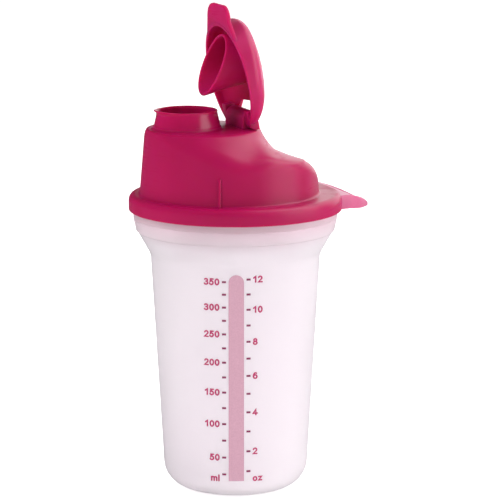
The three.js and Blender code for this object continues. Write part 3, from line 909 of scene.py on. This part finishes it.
@dataclass
class Lid:
    """The press-on lid: skirt, seal wall, boot-shaped tower, spout, hinge knuckle, ribs and lift tab."""

    plate_z: float = 134.3
    plate: float = 1.9
    wall: float = 1.7
    skirt_radius: float = 47.81
    skirt_wall: float = 1.5
    skirt_depth: float = 7.3
    skirt_round: float = 3.0
    seal_radius: float = 43.91
    seal_wall: float = 1.4
    seal_low_z: float = 123.7
    boot_radius: float = 40.21
    boot_x: float = -2.8
    boot_draft: float = 0.085
    boot_foot: float = 1.1
    shelf_height: float = 19.1
    shelf_slope: float = 0.162
    tower_x: float = -15.468
    tower_radius: float = 25.4
    tower_height: float = 29.9
    flare_radius: float = 29.6
    flare_start: float = math.radians(22.06)
    flare_end: float = math.radians(56.3)
    side_slope: float = math.radians(45.0)
    side_start: float = math.radians(28.0)
    side_end: float = math.radians(70.0)
    shelf_fade: float = 12.0
    shelf_start: float = 5.0
    round_front: float = 2.0
    round_rear: float = 8.7
    round_side: float = 3.5
    round_side_start: float = 14.0
    round_side_end: float = 30.0
    round_saddle: float = 1.5
    round_saddle_side: float = 12.0
    round_platform: float = 0.8
    spout_x: float = -22.808
    spout_base: float = 15.1
    spout_rim: float = 13.2
    spout_height: float = 8.6
    spout_wall: float = 0.9
    spout_foot: float = 1.3
    spout_lip: float = 0.5
    spout_lip_start: float = 0.86
    pour_lip: float = 1.6
    pour_rise: float = 0.3
    pour_power: float = 6.0
    pour_sharpness: float = 14.0
    hinge_x: float = HINGE_X
    hinge_z: float = HINGE_Z
    knuckle_radius: float = 4.4
    knuckle_rear: float = 2.7
    knuckle_half: float = 11.0
    rib_width: float = 1.3
    rib_proud: float = 0.8
    rib_height: float = 12.5
    rib_azimuth: float = math.radians(117.0)
    tab_reach: float = 16.2
    tab_root_half: float = 21.0
    tab_root_x: float = 42.1
    tab_tip_radius: float = 9.0
    tab_tip_turn: float = math.radians(30.0)
    tab_bulge: float = 4.5
    tab_margin: float = 0.25
    tab_tip_thickness: float = 1.5
    tab_drop: float = 1.0
    tab_crown: float = 0.9
    tab_dish: float = 1.1
    tab_dish_run: float = 4.0
    tab_fall: float = 2.3
    tab_edge: float = 0.6
    edge: float = 0.4
    under_start: float = 1.5
    top_margin: float = 0.2
    platform_shares: tuple[float, ...] = (0.08, 0.5, 0.92)
    rib_top: float = 2.0
    rib_turn: tuple[float, float] = (0.3, 1.5)
    rib_rows: int = 8
    rib_top_rows: int = 5
    rib_steps: int = 8
    tab_rows: int = 44
    tab_columns: int = 24
    tab_steps: int = 4
    tab_edge_share: float = 0.45
    tab_dish_slope: float = 0.8
    tab_dish_start: float = 0.6
    spout_rows: int = 18
    lip_steps: int = 8
    bore_rows: int = 10
    knuckle_steps: int = 24
    boot_rows: int = 72
    cavity_rows: int = 24
    cast_steps: int = 42
    cast_tolerance: float = 0.0001

    @property
    def platform_z(self) -> float:
        """Height of the tower's platform."""
        return self.plate_z + self.tower_height

    @property
    def cast_x(self) -> float:
        """Where the boot's rings are cast from."""
        return (self.tower_x + self.boot_x) / 2.0

    def boot_distance(self, x: np.ndarray, y: np.ndarray, z: np.ndarray) -> np.ndarray:
        """How far places lie outside the boot: negative inside it."""
        wall = np.hypot(x - self.boot_x, y) - (self.boot_radius - self.boot_draft * (z - self.plate_z))
        fade = self.shelf_fade * (1.0 - smooth_between(x, self.tower_x, self.shelf_start))
        shelf = z - self.plate_z - self.shelf_height + self.shelf_slope * x + fade
        shelf /= math.hypot(1.0, self.shelf_slope)
        reach = np.hypot(x - self.tower_x, y)
        flare_reach = self.tower_radius + self.flare_radius * math.cos(self.flare_start)
        flare_z = self.platform_z + self.flare_radius * math.sin(self.flare_start)
        end_z = flare_z - self.flare_radius * math.sin(self.flare_end)
        end_reach = flare_reach - self.flare_radius * math.cos(self.flare_end)
        cone = (reach - end_reach) * math.cos(self.flare_end) + (z - end_z) * math.sin(self.flare_end)
        flare = self.flare_radius - np.hypot(np.minimum(reach - flare_reach, 0.0), z - flare_z)
        slope = (reach - self.tower_radius) * math.cos(self.side_slope)
        slope += (z - self.platform_z) * math.sin(self.side_slope)
        aside = smooth_between(np.arctan2(np.abs(y), x - self.tower_x), self.side_start, self.side_end)
        tower = np.where(z < end_z, cone, flare) * (1.0 - aside) + slope * aside
        rear = smooth_between(x, self.tower_x - self.tower_radius, self.tower_x)
        beside = smooth_between(np.abs(y), 0.0, self.tower_radius)
        flank = smooth_between(np.abs(y), self.round_side_start, self.round_side_end)
        rear_round = self.round_rear + (self.round_side - self.round_rear) * flank
        rounding = self.round_front + (rear_round - self.round_front) * rear
        saddle = self.round_saddle + (self.round_saddle_side - self.round_saddle) * beside
        body = smooth_most(smooth_least(tower, shelf, saddle), wall, rounding)
        return smooth_most(body, z - self.platform_z, self.round_platform)

    def boot_ring(self, middle_z: float, slope: float, inset: float) -> np.ndarray:
        """The boot's ring in one sloping plane, set in by a wall."""
        turn = turns()
        near, far = np.zeros(SIDES), np.full(SIDES, 2.0 * self.boot_radius)
        for _ in range(self.cast_steps):
            reach = (near + far) / 2.0
            x, y = self.cast_x + reach * np.cos(turn), reach * np.sin(turn)
            outside = self.boot_distance(x, y, middle_z - slope * x) + inset > self.cast_tolerance
            far = np.where(outside, reach, far)
            near = np.where(outside, near, reach)
        x, y = self.cast_x + near * np.cos(turn), near * np.sin(turn)
        return np.column_stack([x, y, middle_z - slope * x])

    def boot_rings(self, inset: float, low_z: float, rows: int) -> list[np.ndarray]:
        """The boot's rings from its foot to its platform, closer together near the top."""
        high_z = self.platform_z - inset
        rings = []
        for share in np.linspace(0.0, 1.0, rows + 1):
            level = 1.0 - (1.0 - share) ** 2
            slope = self.shelf_slope * math.sin(math.pi * level)
            rings.append(self.boot_ring(low_z + (high_z - low_z) * level, slope, inset))
        return rings

    def foot_rings(self) -> list[np.ndarray]:
        """The small round where the boot meets the plate, from the plate up."""
        first = self.boot_ring(self.plate_z + self.boot_foot, 0.0, 0.0)
        outward = first[:, :2] - np.array([self.cast_x, 0.0])
        outward /= np.linalg.norm(outward, axis=1, keepdims=True)
        rings = []
        for share in np.linspace(0.0, 1.0, ARC_STEPS)[:-1]:
            angle = share * math.pi / 2.0
            out = self.boot_foot * (1.0 - math.sin(angle))
            z = self.plate_z + self.boot_foot * (1.0 - math.cos(angle))
            rings.append(np.column_stack([first[:, :2] + outward * out, np.full(SIDES, z)]))
        return rings

    def spout_ring(self, level: float, base: float, rim: float, lift: float = 0.0) -> np.ndarray:
        """The spout's wall at a level from 0 (platform) to 1 (rim), with the lip drawn out in front."""
        turn = turns()
        crest = 1.0 - self.spout_wall / (2.0 * self.spout_height)
        front = np.maximum(0.0, -np.cos(turn)) ** self.pour_power * (level / crest) ** self.pour_sharpness
        rolled = self.spout_lip * max(0.0, (level - self.spout_lip_start) / (1.0 - self.spout_lip_start)) ** 2
        radius = base + (rim - base) * level + self.pour_lip * front + rolled
        z = self.platform_z + self.spout_height * level + self.pour_rise * front + lift
        return np.column_stack([self.spout_x + radius * np.cos(turn), radius * np.sin(turn), z])

    def spout_rings(self) -> list[np.ndarray]:
        """The spout from its foot on the platform, over its rim and down its bore."""
        rings = []
        for share in np.linspace(0.0, 1.0, ARC_STEPS):
            angle = share * math.pi / 2.0
            out = self.spout_foot * (1.0 - math.sin(angle))
            z = self.platform_z + self.spout_foot * (1.0 - math.cos(angle))
            rings.append(circle(self.spout_base + out, z, self.spout_x))
        half = self.spout_wall / 2.0
        low = self.spout_foot / self.spout_height
        top = 1.0 - half / self.spout_height
        for level in np.linspace(low, top, self.spout_rows)[1:]:
            rings.append(self.spout_ring(level, self.spout_base, self.spout_rim))
        for reach, rise in arc(0.0, 0.0, half, 0.0, 180.0, self.lip_steps)[1:-1]:
            shift = reach - half
            rings.append(self.spout_ring(top, self.spout_base + shift, self.spout_rim + shift, rise))
        bore, base_bore = self.spout_rim - self.spout_wall, self.spout_base - self.wall
        for level in np.linspace(top, 0.0, self.bore_rows):
            rings.append(self.spout_ring(level, base_bore, bore))
        rings.append(circle(base_bore, self.platform_z - self.wall, self.spout_x))
        return rings

    def under_path(self) -> list[Flat]:
        """Outline (radius, height) of the plate's underside, seal wall and skirt, from inside to the top."""
        under = self.plate_z - self.plate
        low = self.plate_z - self.skirt_depth
        seal_inner = self.seal_radius - self.seal_wall
        skirt_inner = self.skirt_radius - self.skirt_wall
        return rounded_path(
            [
                (seal_inner - self.under_start, under, 0.0),
                (seal_inner, under, self.edge),
                (seal_inner, self.seal_low_z, self.edge),
                (self.seal_radius, self.seal_low_z, self.edge),
                (self.seal_radius, under, self.edge),
                (skirt_inner, under, self.edge),
                (skirt_inner, low, self.edge),
                (self.skirt_radius, low, self.edge),
                (self.skirt_radius, self.plate_z, self.skirt_round),
                (self.skirt_radius - self.skirt_round - self.top_margin, self.plate_z, 0.0),
            ]
        )

    def shell(self) -> Shape:
        """The lid's moulding without its attachments: one closed skin with the spout's bore through it."""
        outside = self.boot_rings(0.0, self.plate_z + self.boot_foot, self.boot_rows)
        spout = self.spout_rings()
        across = [outside[-1] * (1.0 - share) + spout[0] * share for share in self.platform_shares]
        cavity = self.boot_rings(self.wall, self.plate_z - self.plate, self.cavity_rows)
        under = [circle(radius, z) for radius, z in self.under_path()]
        shape = Shape()
        shape.loft([*self.foot_rings(), *outside, *across, *spout, *cavity[::-1], *under], closed=True)
        return shape

    def knuckle(self) -> Shape:
        """The round-topped block that the cap's ears turn on."""
        foot = self.platform_z - self.wall / 2.0
        start = math.degrees(math.acos(self.knuckle_rear / self.knuckle_radius))
        top = arc(self.hinge_x, self.hinge_z, self.knuckle_radius, start, 180.0, self.knuckle_steps)
        sides = [(self.hinge_x - self.knuckle_radius, foot), (self.hinge_x + self.knuckle_rear, foot)]
        shape = Shape()
        shape.loft(upright(rounded_slab([*top, *sides], -self.knuckle_half, self.knuckle_half, self.edge)))
        return shape

    def ribs(self) -> Shape:
        """The two small upright ribs on the boot's sides."""
        shape = Shape()
        low_z = self.plate_z - self.plate / 2.0
        round_z = self.plate_z + self.rib_height - self.rib_top
        rises = self.rib_top * np.sin(np.linspace(*self.rib_turn, self.rib_top_rows))
        heights = [*np.linspace(low_z, round_z, self.rib_rows), *(round_z + rises)]
        for side in Side:
            angle = side.value * self.rib_azimuth
            out = np.array([math.cos(angle), math.sin(angle)])
            along = np.array([-math.sin(angle), math.cos(angle)])
            rings = []
            for z in heights:
                rise = max(0.0, z - round_z) / self.rib_top
                proud = self.rib_proud * math.sqrt(max(0.0, 1.0 - rise**2))
                surface = self.boot_radius - self.boot_draft * (z - self.plate_z)
                bow_out = arc(0.0, 0.0, 1.0, -90.0, 90.0, self.rib_steps)
                section = [(surface + proud * reach, rest) for reach, rest in bow_out]
                section += [(surface - self.wall / 2.0, rest) for rest in (1.0, -1.0)]
                spots = [out * reach + along * (self.rib_width / 2.0 * rest) for reach, rest in section]
                rings.append(np.array([(spot[0] + self.boot_x, spot[1], z) for spot in spots]))
            shape.loft(rings)
        return shape

    def tab_half(self, x: float) -> float:
        """Half the lift tab's width at a distance from the lid's axis."""
        tip_x = self.skirt_radius + self.tab_reach
        round_x = tip_x - self.tab_tip_radius
        turn_x = round_x + self.tab_tip_radius * math.cos(self.tab_tip_turn)
        turn_half = self.tab_tip_radius * math.sin(self.tab_tip_turn)
        if x > turn_x:
            return math.sqrt(max(self.tab_tip_radius**2 - (x - round_x) ** 2, 0.0))
        share = (x - self.tab_root_x) / (turn_x - self.tab_root_x)
        straight = self.tab_root_half + (turn_half - self.tab_root_half) * share
        return straight + self.tab_bulge * math.sin(math.pi * share)

    def lift_tab(self) -> Shape:
        """The dished tab at the rear that the lid is lifted by."""
        low_z = self.plate_z - self.skirt_depth
        root_z = self.plate_z - self.tab_drop
        root_radius = self.skirt_radius - self.skirt_wall / 2.0
        clear_radius = root_radius - self.skirt_wall / 3.0
        tip_x = self.skirt_radius + self.tab_reach - self.tab_margin
        stations = tip_x - (tip_x - self.tab_root_x) * np.linspace(1.0, 0.0, self.tab_rows) ** 2
        rings = []
        for x in stations:
            half = self.tab_half(x)
            fall = max(0.0, x - self.skirt_radius) / self.tab_reach
            under_z = low_z - self.tab_fall * fall
            top_z = root_z + (low_z - self.tab_fall + self.tab_tip_thickness - root_z) * fall
            top_z += self.tab_crown * math.sin(math.pi * fall)
            edge = min(self.tab_edge, half * self.tab_edge_share)
            loop = arc(half - edge, under_z + edge, edge, -90.0, 0.0, self.tab_steps)
            loop += arc(half - edge, top_z - edge, edge, 0.0, 90.0, self.tab_steps)
            across = np.linspace(half - edge, edge - half, self.tab_columns)[1:-1]
            for y in across:
                ends = min(tip_x - x, x - self.skirt_radius)
                inside = min(half - abs(y), ends * self.tab_dish_slope)
                dish = float(smooth_between(inside, self.tab_dish_start, self.tab_dish_run))
                loop.append((y, top_z - self.tab_dish * dish))
            loop += arc(edge - half, top_z - edge, edge, 90.0, 180.0, self.tab_steps)
            loop += arc(edge - half, under_z + edge, edge, 180.0, 270.0, self.tab_steps)
            loop += [(-y, under_z) for y in across]
            flat = np.array(loop)
            share = min(1.0, (x - self.tab_root_x) / (self.skirt_radius - self.tab_root_x))
            reach = np.sqrt(root_radius**2 - flat[:, 0] ** 2) * (1.0 - share) + x * share
            reach = np.maximum(reach, np.sqrt(np.maximum(clear_radius**2 - flat[:, 0] ** 2, 0.0)))
            rings.append(np.column_stack([reach, flat]))
        shape = Shape()
        shape.loft(rings, caps=False)
        size = len(rings[0])
        shape.close_end(size)
        corner = self.tab_steps + 1
        upper = list(range(corner, size // 2 + corner))
        lower = [*range(corner - 1, -1, -1), *range(size - 1, size // 2 + corner - 1, -1)]
        shape.faces += list(zip(upper, upper[1:], lower[1:], lower))
        return shape

    def polish_spout(self, mesh: bpy.types.Mesh) -> None:
        """Gives the spout, which stands above the platform, its smoother finish."""
        mesh.materials.append(SPOUT_FINISH.material())
        for face in mesh.polygons:
            face.material_index = int(face.center.z > (self.platform_z + self.spout_foot) * MM)

    def build(self) -> None:
        """Makes the lid's pieces."""
        finish = LID_FINISH.material()
        shell = place_piece(self.shell().mesh("lid_shell"), finish, "lid")
        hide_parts("lid")
        self.polish_spout(shell.data)
        # The knuckle is part of the lid's moulding but takes the cap's lighter finish: painted light that
        # lifts it out of the shade under the open cap.
        place_piece(self.knuckle().mesh("hinge_knuckle"), CAP_FINISH_PAINTED_LIGHTER.material(), "lid")
        place_piece(self.ribs().mesh("side_ribs"), finish, "lid")
        # The lift tab takes a lighter copy of the lid's plastic: painted light for the glow through the thin
        # tab.
        place_piece(self.lift_tab().mesh("lift_tab"), TAB_PAINTED_LIGHTER_FINISH.material(), "lid")


# Flip cap


@dataclass
class FlipCap:
    """The hinged cap: dome, plug tube, thumb tab and ears.

    Sizes are counted from the hinge axis, with the cap closed.
    """

    hinge_x: float = HINGE_X
    hinge_z: float = HINGE_Z
    open_angle: float = math.radians(78.2)
    radius: float = 25.3
    middle_x: float = -19.26
    rim_z: float = -3.2
    height: float = 14.0
    wall: float = 1.5
    edge: float = 2.6
    crown_forward: float = 4.2
    fall_long: float = 5.2
    fall_wide: float = 7.9
    heel: float = 12.3
    heel_fall: float = 2.05
    notch_x: float = -5.4
    ear_inner: float = 11.4
    ear_outer: float = 16.0
    heel_half: float = 14.4
    ear_radius: float = 3.25
    ear_top: float = 1.3
    pin_radius: float = 1.4
    pin_reach: float = 0.9
    plug_x: float = -26.85
    plug_radius: float = 11.65
    plug_wall: float = 1.2
    plug_reach_rear: float = 13.8
    plug_rise_front: float = 0.9
    plug_flare: float = 0.6
    plug_flare_start: float = 0.6
    thumb_half: float = 12.8
    thumb_flare: float = 4.2
    thumb_rise: float = 1.3
    thumb_reach: float = 8.0
    thumb_thickness: float = 1.8
    thumb_round: float = 6.5
    thumb_edge: float = 0.45
    thumb_root: float = 1.3
    thumb_lift: float = 0.03
    bevel: float = 0.35
    bevel_steps: int = 3
    cut_reach: float = 0.06
    side_rows: int = 8
    edge_steps: int = 8
    crown_rows: int = 22
    crown_middle: float = 0.02
    plug_rows: int = 16
    plug_lip_steps: int = 8
    plug_bore_rows: int = 12
    thumb_steps: int = 14
    thumb_root_steps: int = 32
    ear_steps: int = 24
    pin_root: float = 1.0
    pin_sides: int = 48

    def opened(self, points: np.ndarray) -> np.ndarray:
        """Turns places of the closed cap to where the cap stands open."""
        cosine, sine = math.cos(self.open_angle), math.sin(self.open_angle)
        x = points[:, 0] * cosine + points[:, 2] * sine + self.hinge_x
        z = points[:, 2] * cosine - points[:, 0] * sine + self.hinge_z
        return np.column_stack([x, points[:, 1], z])

    def crown(self, x: np.ndarray, y: np.ndarray) -> np.ndarray:
        """Height of the crown's outside at places counted from the hinge axis."""
        long = (x - self.middle_x + self.crown_forward) / self.radius
        heel = self.heel_fall * np.maximum(0.0, (x + self.heel) / self.heel) ** 2
        fall = self.fall_long * long**2 + self.fall_wide * (y / self.radius) ** 2 + heel
        return self.rim_z + self.height - fall

    def dome_ring(self, reach: float, drop: float) -> np.ndarray:
        """A ring of the dome's outside."""
        turn = turns()
        x, y = self.middle_x + reach * np.cos(turn), reach * np.sin(turn)
        return np.column_stack([x, y, self.crown(x, y) - drop])

    def dome(self) -> bpy.types.Mesh:
        """The domed shell, notched round the knuckle."""
        top = self.dome_ring(self.radius, self.edge)
        rings = []
        for share in np.linspace(0.0, 1.0, self.side_rows)[:-1]:
            ring = top.copy()
            ring[:, 2] = self.rim_z + (top[:, 2] - self.rim_z) * share
            rings.append(ring)
        for reach, rise in arc(self.radius - self.edge, 0.0, self.edge, 0.0, 90.0, self.edge_steps):
            rings.append(self.dome_ring(reach, self.edge - rise))
        for share in np.linspace(1.0, self.crown_middle, self.crown_rows)[1:]:
            rings.append(self.dome_ring((self.radius - self.edge) * share, 0.0))
        sheet = Shape()
        sheet.loft(rings, caps=False)
        sheet.close_end(SIDES)
        mesh = bpy.data.meshes.new("cap_dome")
        mesh.from_pydata(np.vstack(sheet.points).tolist(), [], sheet.faces)
        work = bmesh.new()
        work.from_mesh(mesh)
        halves = (self.ear_inner, -self.ear_inner, self.heel_half, -self.heel_half)
        cuts = [((x, 0.0, 0.0), (1.0, 0.0, 0.0)) for x in (self.notch_x, 0.0)]
        cuts += [((0.0, y, 0.0), (0.0, 1.0, 0.0)) for y in halves]
        for spot, normal in cuts:
            geometry = work.verts[:] + work.edges[:] + work.faces[:]
            bmesh.ops.bisect_plane(work, geom=geometry, dist=self.cut_reach, plane_co=spot, plane_no=normal)
        bmesh.ops.remove_doubles(work, verts=work.verts, dist=self.cut_reach)
        notch = [face for face in work.faces if self.in_notch(face.calc_center_median())]
        bmesh.ops.delete(work, geom=notch, context="FACES")
        work.to_mesh(mesh)
        work.free()
        return self.thickened(mesh)

    def in_notch(self, spot: Vector) -> bool:
        """Whether a place of the dome is cut away for the knuckle or for the ears' turn."""
        half = self.heel_half if spot.x > 0.0 else self.ear_inner
        return spot.x > self.notch_x and abs(spot.y) < half

    def thickened(self, sheet: bpy.types.Mesh) -> bpy.types.Mesh:
        """Gives the sheet its wall and rounded edges, opens it and brings it to metres."""
        maker = bpy.data.objects.new("cap_dome_maker", sheet)
        bpy.context.scene.collection.objects.link(maker)
        solid = maker.modifiers.new("wall", "SOLIDIFY")
        solid.thickness = self.wall
        solid.offset = -1.0
        solid.use_even_offset = True
        bevel = maker.modifiers.new("edges", "BEVEL")
        bevel.width = self.bevel
        bevel.segments = self.bevel_steps
        bevel.limit_method = "ANGLE"
        bevel.angle_limit = SHARP_ANGLE
        mesh = bpy.data.meshes.new_from_object(maker.evaluated_get(bpy.context.evaluated_depsgraph_get()))
        bpy.data.batch_remove([maker, sheet])
        places = np.array([tuple(v.co) for v in mesh.vertices])
        mesh.vertices.foreach_set("co", (self.opened(places) * MM).ravel())
        mesh.name = "cap_dome"
        return mesh

    def plug(self) -> Shape:
        """The plug tube with its obliquely cut end."""
        turn = turns()
        half = self.plug_wall / 2.0
        slope = (self.plug_reach_rear + self.plug_rise_front) / (2.0 * self.plug_radius)

        def ring(radius: float, share: float, lift: float = 0.0) -> np.ndarray:
            flare = self.plug_flare * float(smooth_between(share, self.plug_flare_start, 1.0))
            reach = radius + flare * np.cos(turn) ** 2
            x, y = self.plug_x + reach * np.cos(turn), reach * np.sin(turn)
            top = self.crown(x, y) - self.wall / 2.0
            cut = self.plug_x + self.plug_radius * np.cos(turn)
            end = self.rim_z + self.plug_rise_front - slope * (cut - self.plug_x + self.plug_radius) + half
            return np.column_stack([x, y, top + (end - top) * share - lift])

        inner = self.plug_radius - self.plug_wall
        rings = [ring(self.plug_radius, share) for share in np.linspace(0.0, 1.0, self.plug_rows)]
        for reach, drop in arc(self.plug_radius - half, 0.0, half, 0.0, 180.0, self.plug_lip_steps)[1:-1]:
            rings.append(ring(reach, 1.0, drop))
        rings += [ring(inner, share) for share in np.linspace(1.0, 0.0, self.plug_bore_rows)]
        shape = Shape()
        shape.loft(rings, closed=True)
        return shape

    def thumb_tab(self) -> Shape:
        """The tab that the cap is opened by."""
        half, rounding = self.thumb_half, self.thumb_round
        tip_x = self.middle_x - self.radius - self.thumb_reach
        tip = arc(tip_x + rounding, half - rounding, rounding, 90.0, 180.0, self.thumb_steps)
        tip += arc(tip_x + rounding, rounding - half, rounding, 180.0, 270.0, self.thumb_steps)
        bow = math.degrees(math.asin((half + self.thumb_flare) / self.radius))
        outer = arc(self.middle_x, 0.0, self.radius, 180.0 + bow, 180.0 - bow, 1)
        root = self.radius - self.thumb_root
        back = arc(self.middle_x, 0.0, root, 180.0 + bow, 180.0 - bow, self.thumb_root_steps)
        outline = [*tip, outer[0], *back, outer[1]]
        low = self.rim_z + self.thumb_lift
        shape = Shape()
        shape.loft(rounded_slab(outline, low, self.rim_z + self.thumb_thickness, self.thumb_edge))
        return shape.moved(self.thumb_lifted)

    def thumb_lifted(self, points: np.ndarray) -> np.ndarray:
        """Bends the thumb tab up towards its tip."""
        beyond = (self.middle_x - self.radius - points[:, 0]) / self.thumb_reach
        rise = self.thumb_rise * np.clip(beyond, 0.0, 1.0)
        return points + np.column_stack([np.zeros((len(points), 2)), rise])

    def ears(self) -> Shape:
        """The two ears and the pins that they turn on."""
        level = math.degrees(math.asin(self.ear_top / self.ear_radius))
        outline = arc(0.0, 0.0, self.ear_radius, -90.0, level, self.ear_steps)
        outline += [(self.notch_x, self.ear_top), (self.notch_x, self.rim_z)]
        shape = Shape()
        for side in Side:
            ends = sorted((-side.value * self.ear_inner, -side.value * self.ear_outer))
            shape.loft(upright(rounded_slab(outline, *ends, self.bevel)))
            full = 360.0 - 360.0 / self.pin_sides
            pin = arc(0.0, 0.0, self.pin_radius, 0.0, full, self.pin_sides - 1)
            reaches = (self.ear_inner - self.pin_reach, self.ear_inner + self.pin_root)
            ends = sorted(-side.value * reach for reach in reaches)
            shape.loft(upright(rounded_slab(pin, *ends, self.bevel)))
        return shape

    def build(self) -> None:
        """Makes the cap's pieces where the cap stands open."""
        # The cap's finish is painted lighter than the lid's, standing in for light inside the open cap.
        finish = CAP_FINISH_PAINTED_LIGHTER.material()
        dome = place_piece(self.dome(), finish, "flip_cap")
        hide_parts("flip_cap")
        shapes = {"cap_plug": self.plug(), "thumb_tab": self.thumb_tab(), "cap_ears": self.ears()}
        for name, shape in shapes.items():
            place_piece(shape.moved(self.opened).mesh(name), finish, "flip_cap")


# Studio


def mirrored_rays(tree: bpy.types.ShaderNodeTree) -> bpy.types.NodeSocket:
    """Tells rays that come by a reflection from those that come straight or through a wall.

    Args:
        tree: Nodes of the floor's material or of the room.

    Returns:
        A value of 1 for mirrored rays and 0 for all others.
    """
    path = add_node(tree, "LightPath")
    mirrored = add_node(tree, "Math", operation="SUBTRACT", use_clamp=True)
    tree.links.new(path.outputs["Is Glossy Ray"], mirrored.inputs[0])
    tree.links.new(path.outputs["Is Transmission Ray"], mirrored.inputs[1])
    return mirrored.outputs["Value"]


@dataclass(frozen=True)
class SoftLight:
    """A square soft light that looks at a point of the cup."""

    name: str
    place: tuple[float, float, float]
    size: float
    watts: float
    aim: tuple[float, float, float] = (0.0, 0.0, 0.11)
    reflected: bool = True
    lights_walls: bool = True

    def build(self) -> None:
        """Puts the light up."""
        data = bpy.data.lights.new(self.name, "AREA")
        data.energy = self.watts
        data.size = self.size
        lamp = bpy.data.objects.new(self.name, data)
        lamp.location = self.place
        look = Vector(self.aim) - Vector(self.place)
        lamp.rotation_euler = look.to_track_quat("-Z", "Y").to_euler()
        lamp.visible_glossy = self.reflected
        lamp.visible_diffuse = self.lights_walls
        lamp.visible_transmission = self.lights_walls
        bpy.context.scene.collection.objects.link(lamp)


@dataclass
class Studio:
    """The pale floor, the soft lights and the camera at the photograph's view."""

    azimuth: float = math.radians(21.3)
    distance: float = 1.2
    height: float = 0.3407
    shift_right: float = 0.0066
    pitch: float = math.radians(10.98)
    lens: float = 195.55
    sensor: float = 36.0
    floor_half: float = 9.0
    floor_glow: float = 0.5
    floor_rough: float = 0.9
    floor_tone: float = 0.92
    floor_tone_reflected: float = 0.1
    sky: float = 0.57
    sky_reflected: float = 0.06
    lights: tuple[SoftLight, ...] = (
        SoftLight("right_softbox", (1.0, -0.72, 0.48), 1.1, 11.0),
        SoftLight("top_softbox", (0.8, -0.05, 1.2), 1.0, 11.0),
        SoftLight("left_fill", (-0.85, -0.05, 0.88), 0.7, 7.8, (0.0, 0.0, 0.16), False),
        SoftLight("rear_panel", (1.1, 1.0, 0.45), 1.6, 14.0, (0.0, 0.0, 0.16), True, False),
    )

    def camera(self) -> None:
        """Sets the camera up."""
        data = bpy.data.cameras.new("camera")
        data.lens = self.lens
        data.sensor_width = self.sensor
        camera = bpy.data.objects.new("camera", data)
        sine, cosine = math.sin(self.azimuth), math.cos(self.azimuth)
        camera.location = (
            -self.distance * sine + self.shift_right * cosine,
            -self.distance * cosine - self.shift_right * sine,
            self.height,
        )
        camera.rotation_euler = (math.pi / 2.0 - self.pitch, 0.0, -self.azimuth)
        bpy.context.scene.collection.objects.link(camera)
        bpy.context.scene.camera = camera

    def floor(self) -> None:
        """Lays the pale floor."""
        half = self.floor_half
        mesh = bpy.data.meshes.new("floor")
        corners = [(-half, -half, 0.0), (half, -half, 0.0), (half, half, 0.0), (-half, half, 0.0)]
        mesh.from_pydata(corners, [], [(0, 1, 2, 3)])
        material = bpy.data.materials.new("pale floor")
        material.use_nodes = True
        tree = material.node_tree
        shader = tree.nodes["Principled BSDF"]
        set_values(shader, {"Roughness": self.floor_rough, "Emission Color": (1.0, 1.0, 1.0, 1.0)})
        mirrored = mirrored_rays(tree)
        dim = add_node(tree, "MapRange", {"To Min": self.floor_glow, "To Max": 0.0})
        tree.links.new(mirrored, dim.inputs["Value"])
        tree.links.new(dim.outputs["Result"], shader.inputs["Emission Strength"])
        tones = {"A": (*[self.floor_tone] * 3, 1.0), "B": (*[self.floor_tone_reflected] * 3, 1.0)}
        tone = add_node(tree, "Mix", tones, data_type="RGBA")
        tree.links.new(mirrored, tone.inputs["Factor"])
        tree.links.new(tone.outputs["Result"], shader.inputs["Base Color"])
        mesh.materials.append(material)
        floor = bpy.data.objects.new("floor", mesh)
        bpy.context.scene.collection.objects.link(floor)

    def world(self) -> None:
        """Fills the room with even light."""
        world = bpy.data.worlds.new("soft room")
        world.use_nodes = True
        tree = world.node_tree
        background = tree.nodes["Background"]
        set_values(background, {"Color": (1.0, 1.0, 1.0, 1.0)})
        dim = add_node(tree, "MapRange", {"To Min": self.sky, "To Max": self.sky_reflected})
        tree.links.new(mirrored_rays(tree), dim.inputs["Value"])
        tree.links.new(dim.outputs["Result"], background.inputs["Strength"])
        bpy.context.scene.world = world
        bpy.context.scene.view_settings.view_transform = "Standard"

    def build(self) -> None:
        """Makes the whole studio."""
        self.camera()
        self.floor()
        self.world()
        for light in self.lights:
            light.build()


def main() -> None:
    """Builds the studio and the cup's pieces in order."""
    logging.basicConfig(level=logging.INFO, format="%(name)s: %(message)s")
    Studio().build()
    cup = Cup()
    cup.build()
    MeasuringScale(cup).build()
    MixingWheel().build()
    Lid().build()
    FlipCap().build()


if __name__ == "__main__":
    main()
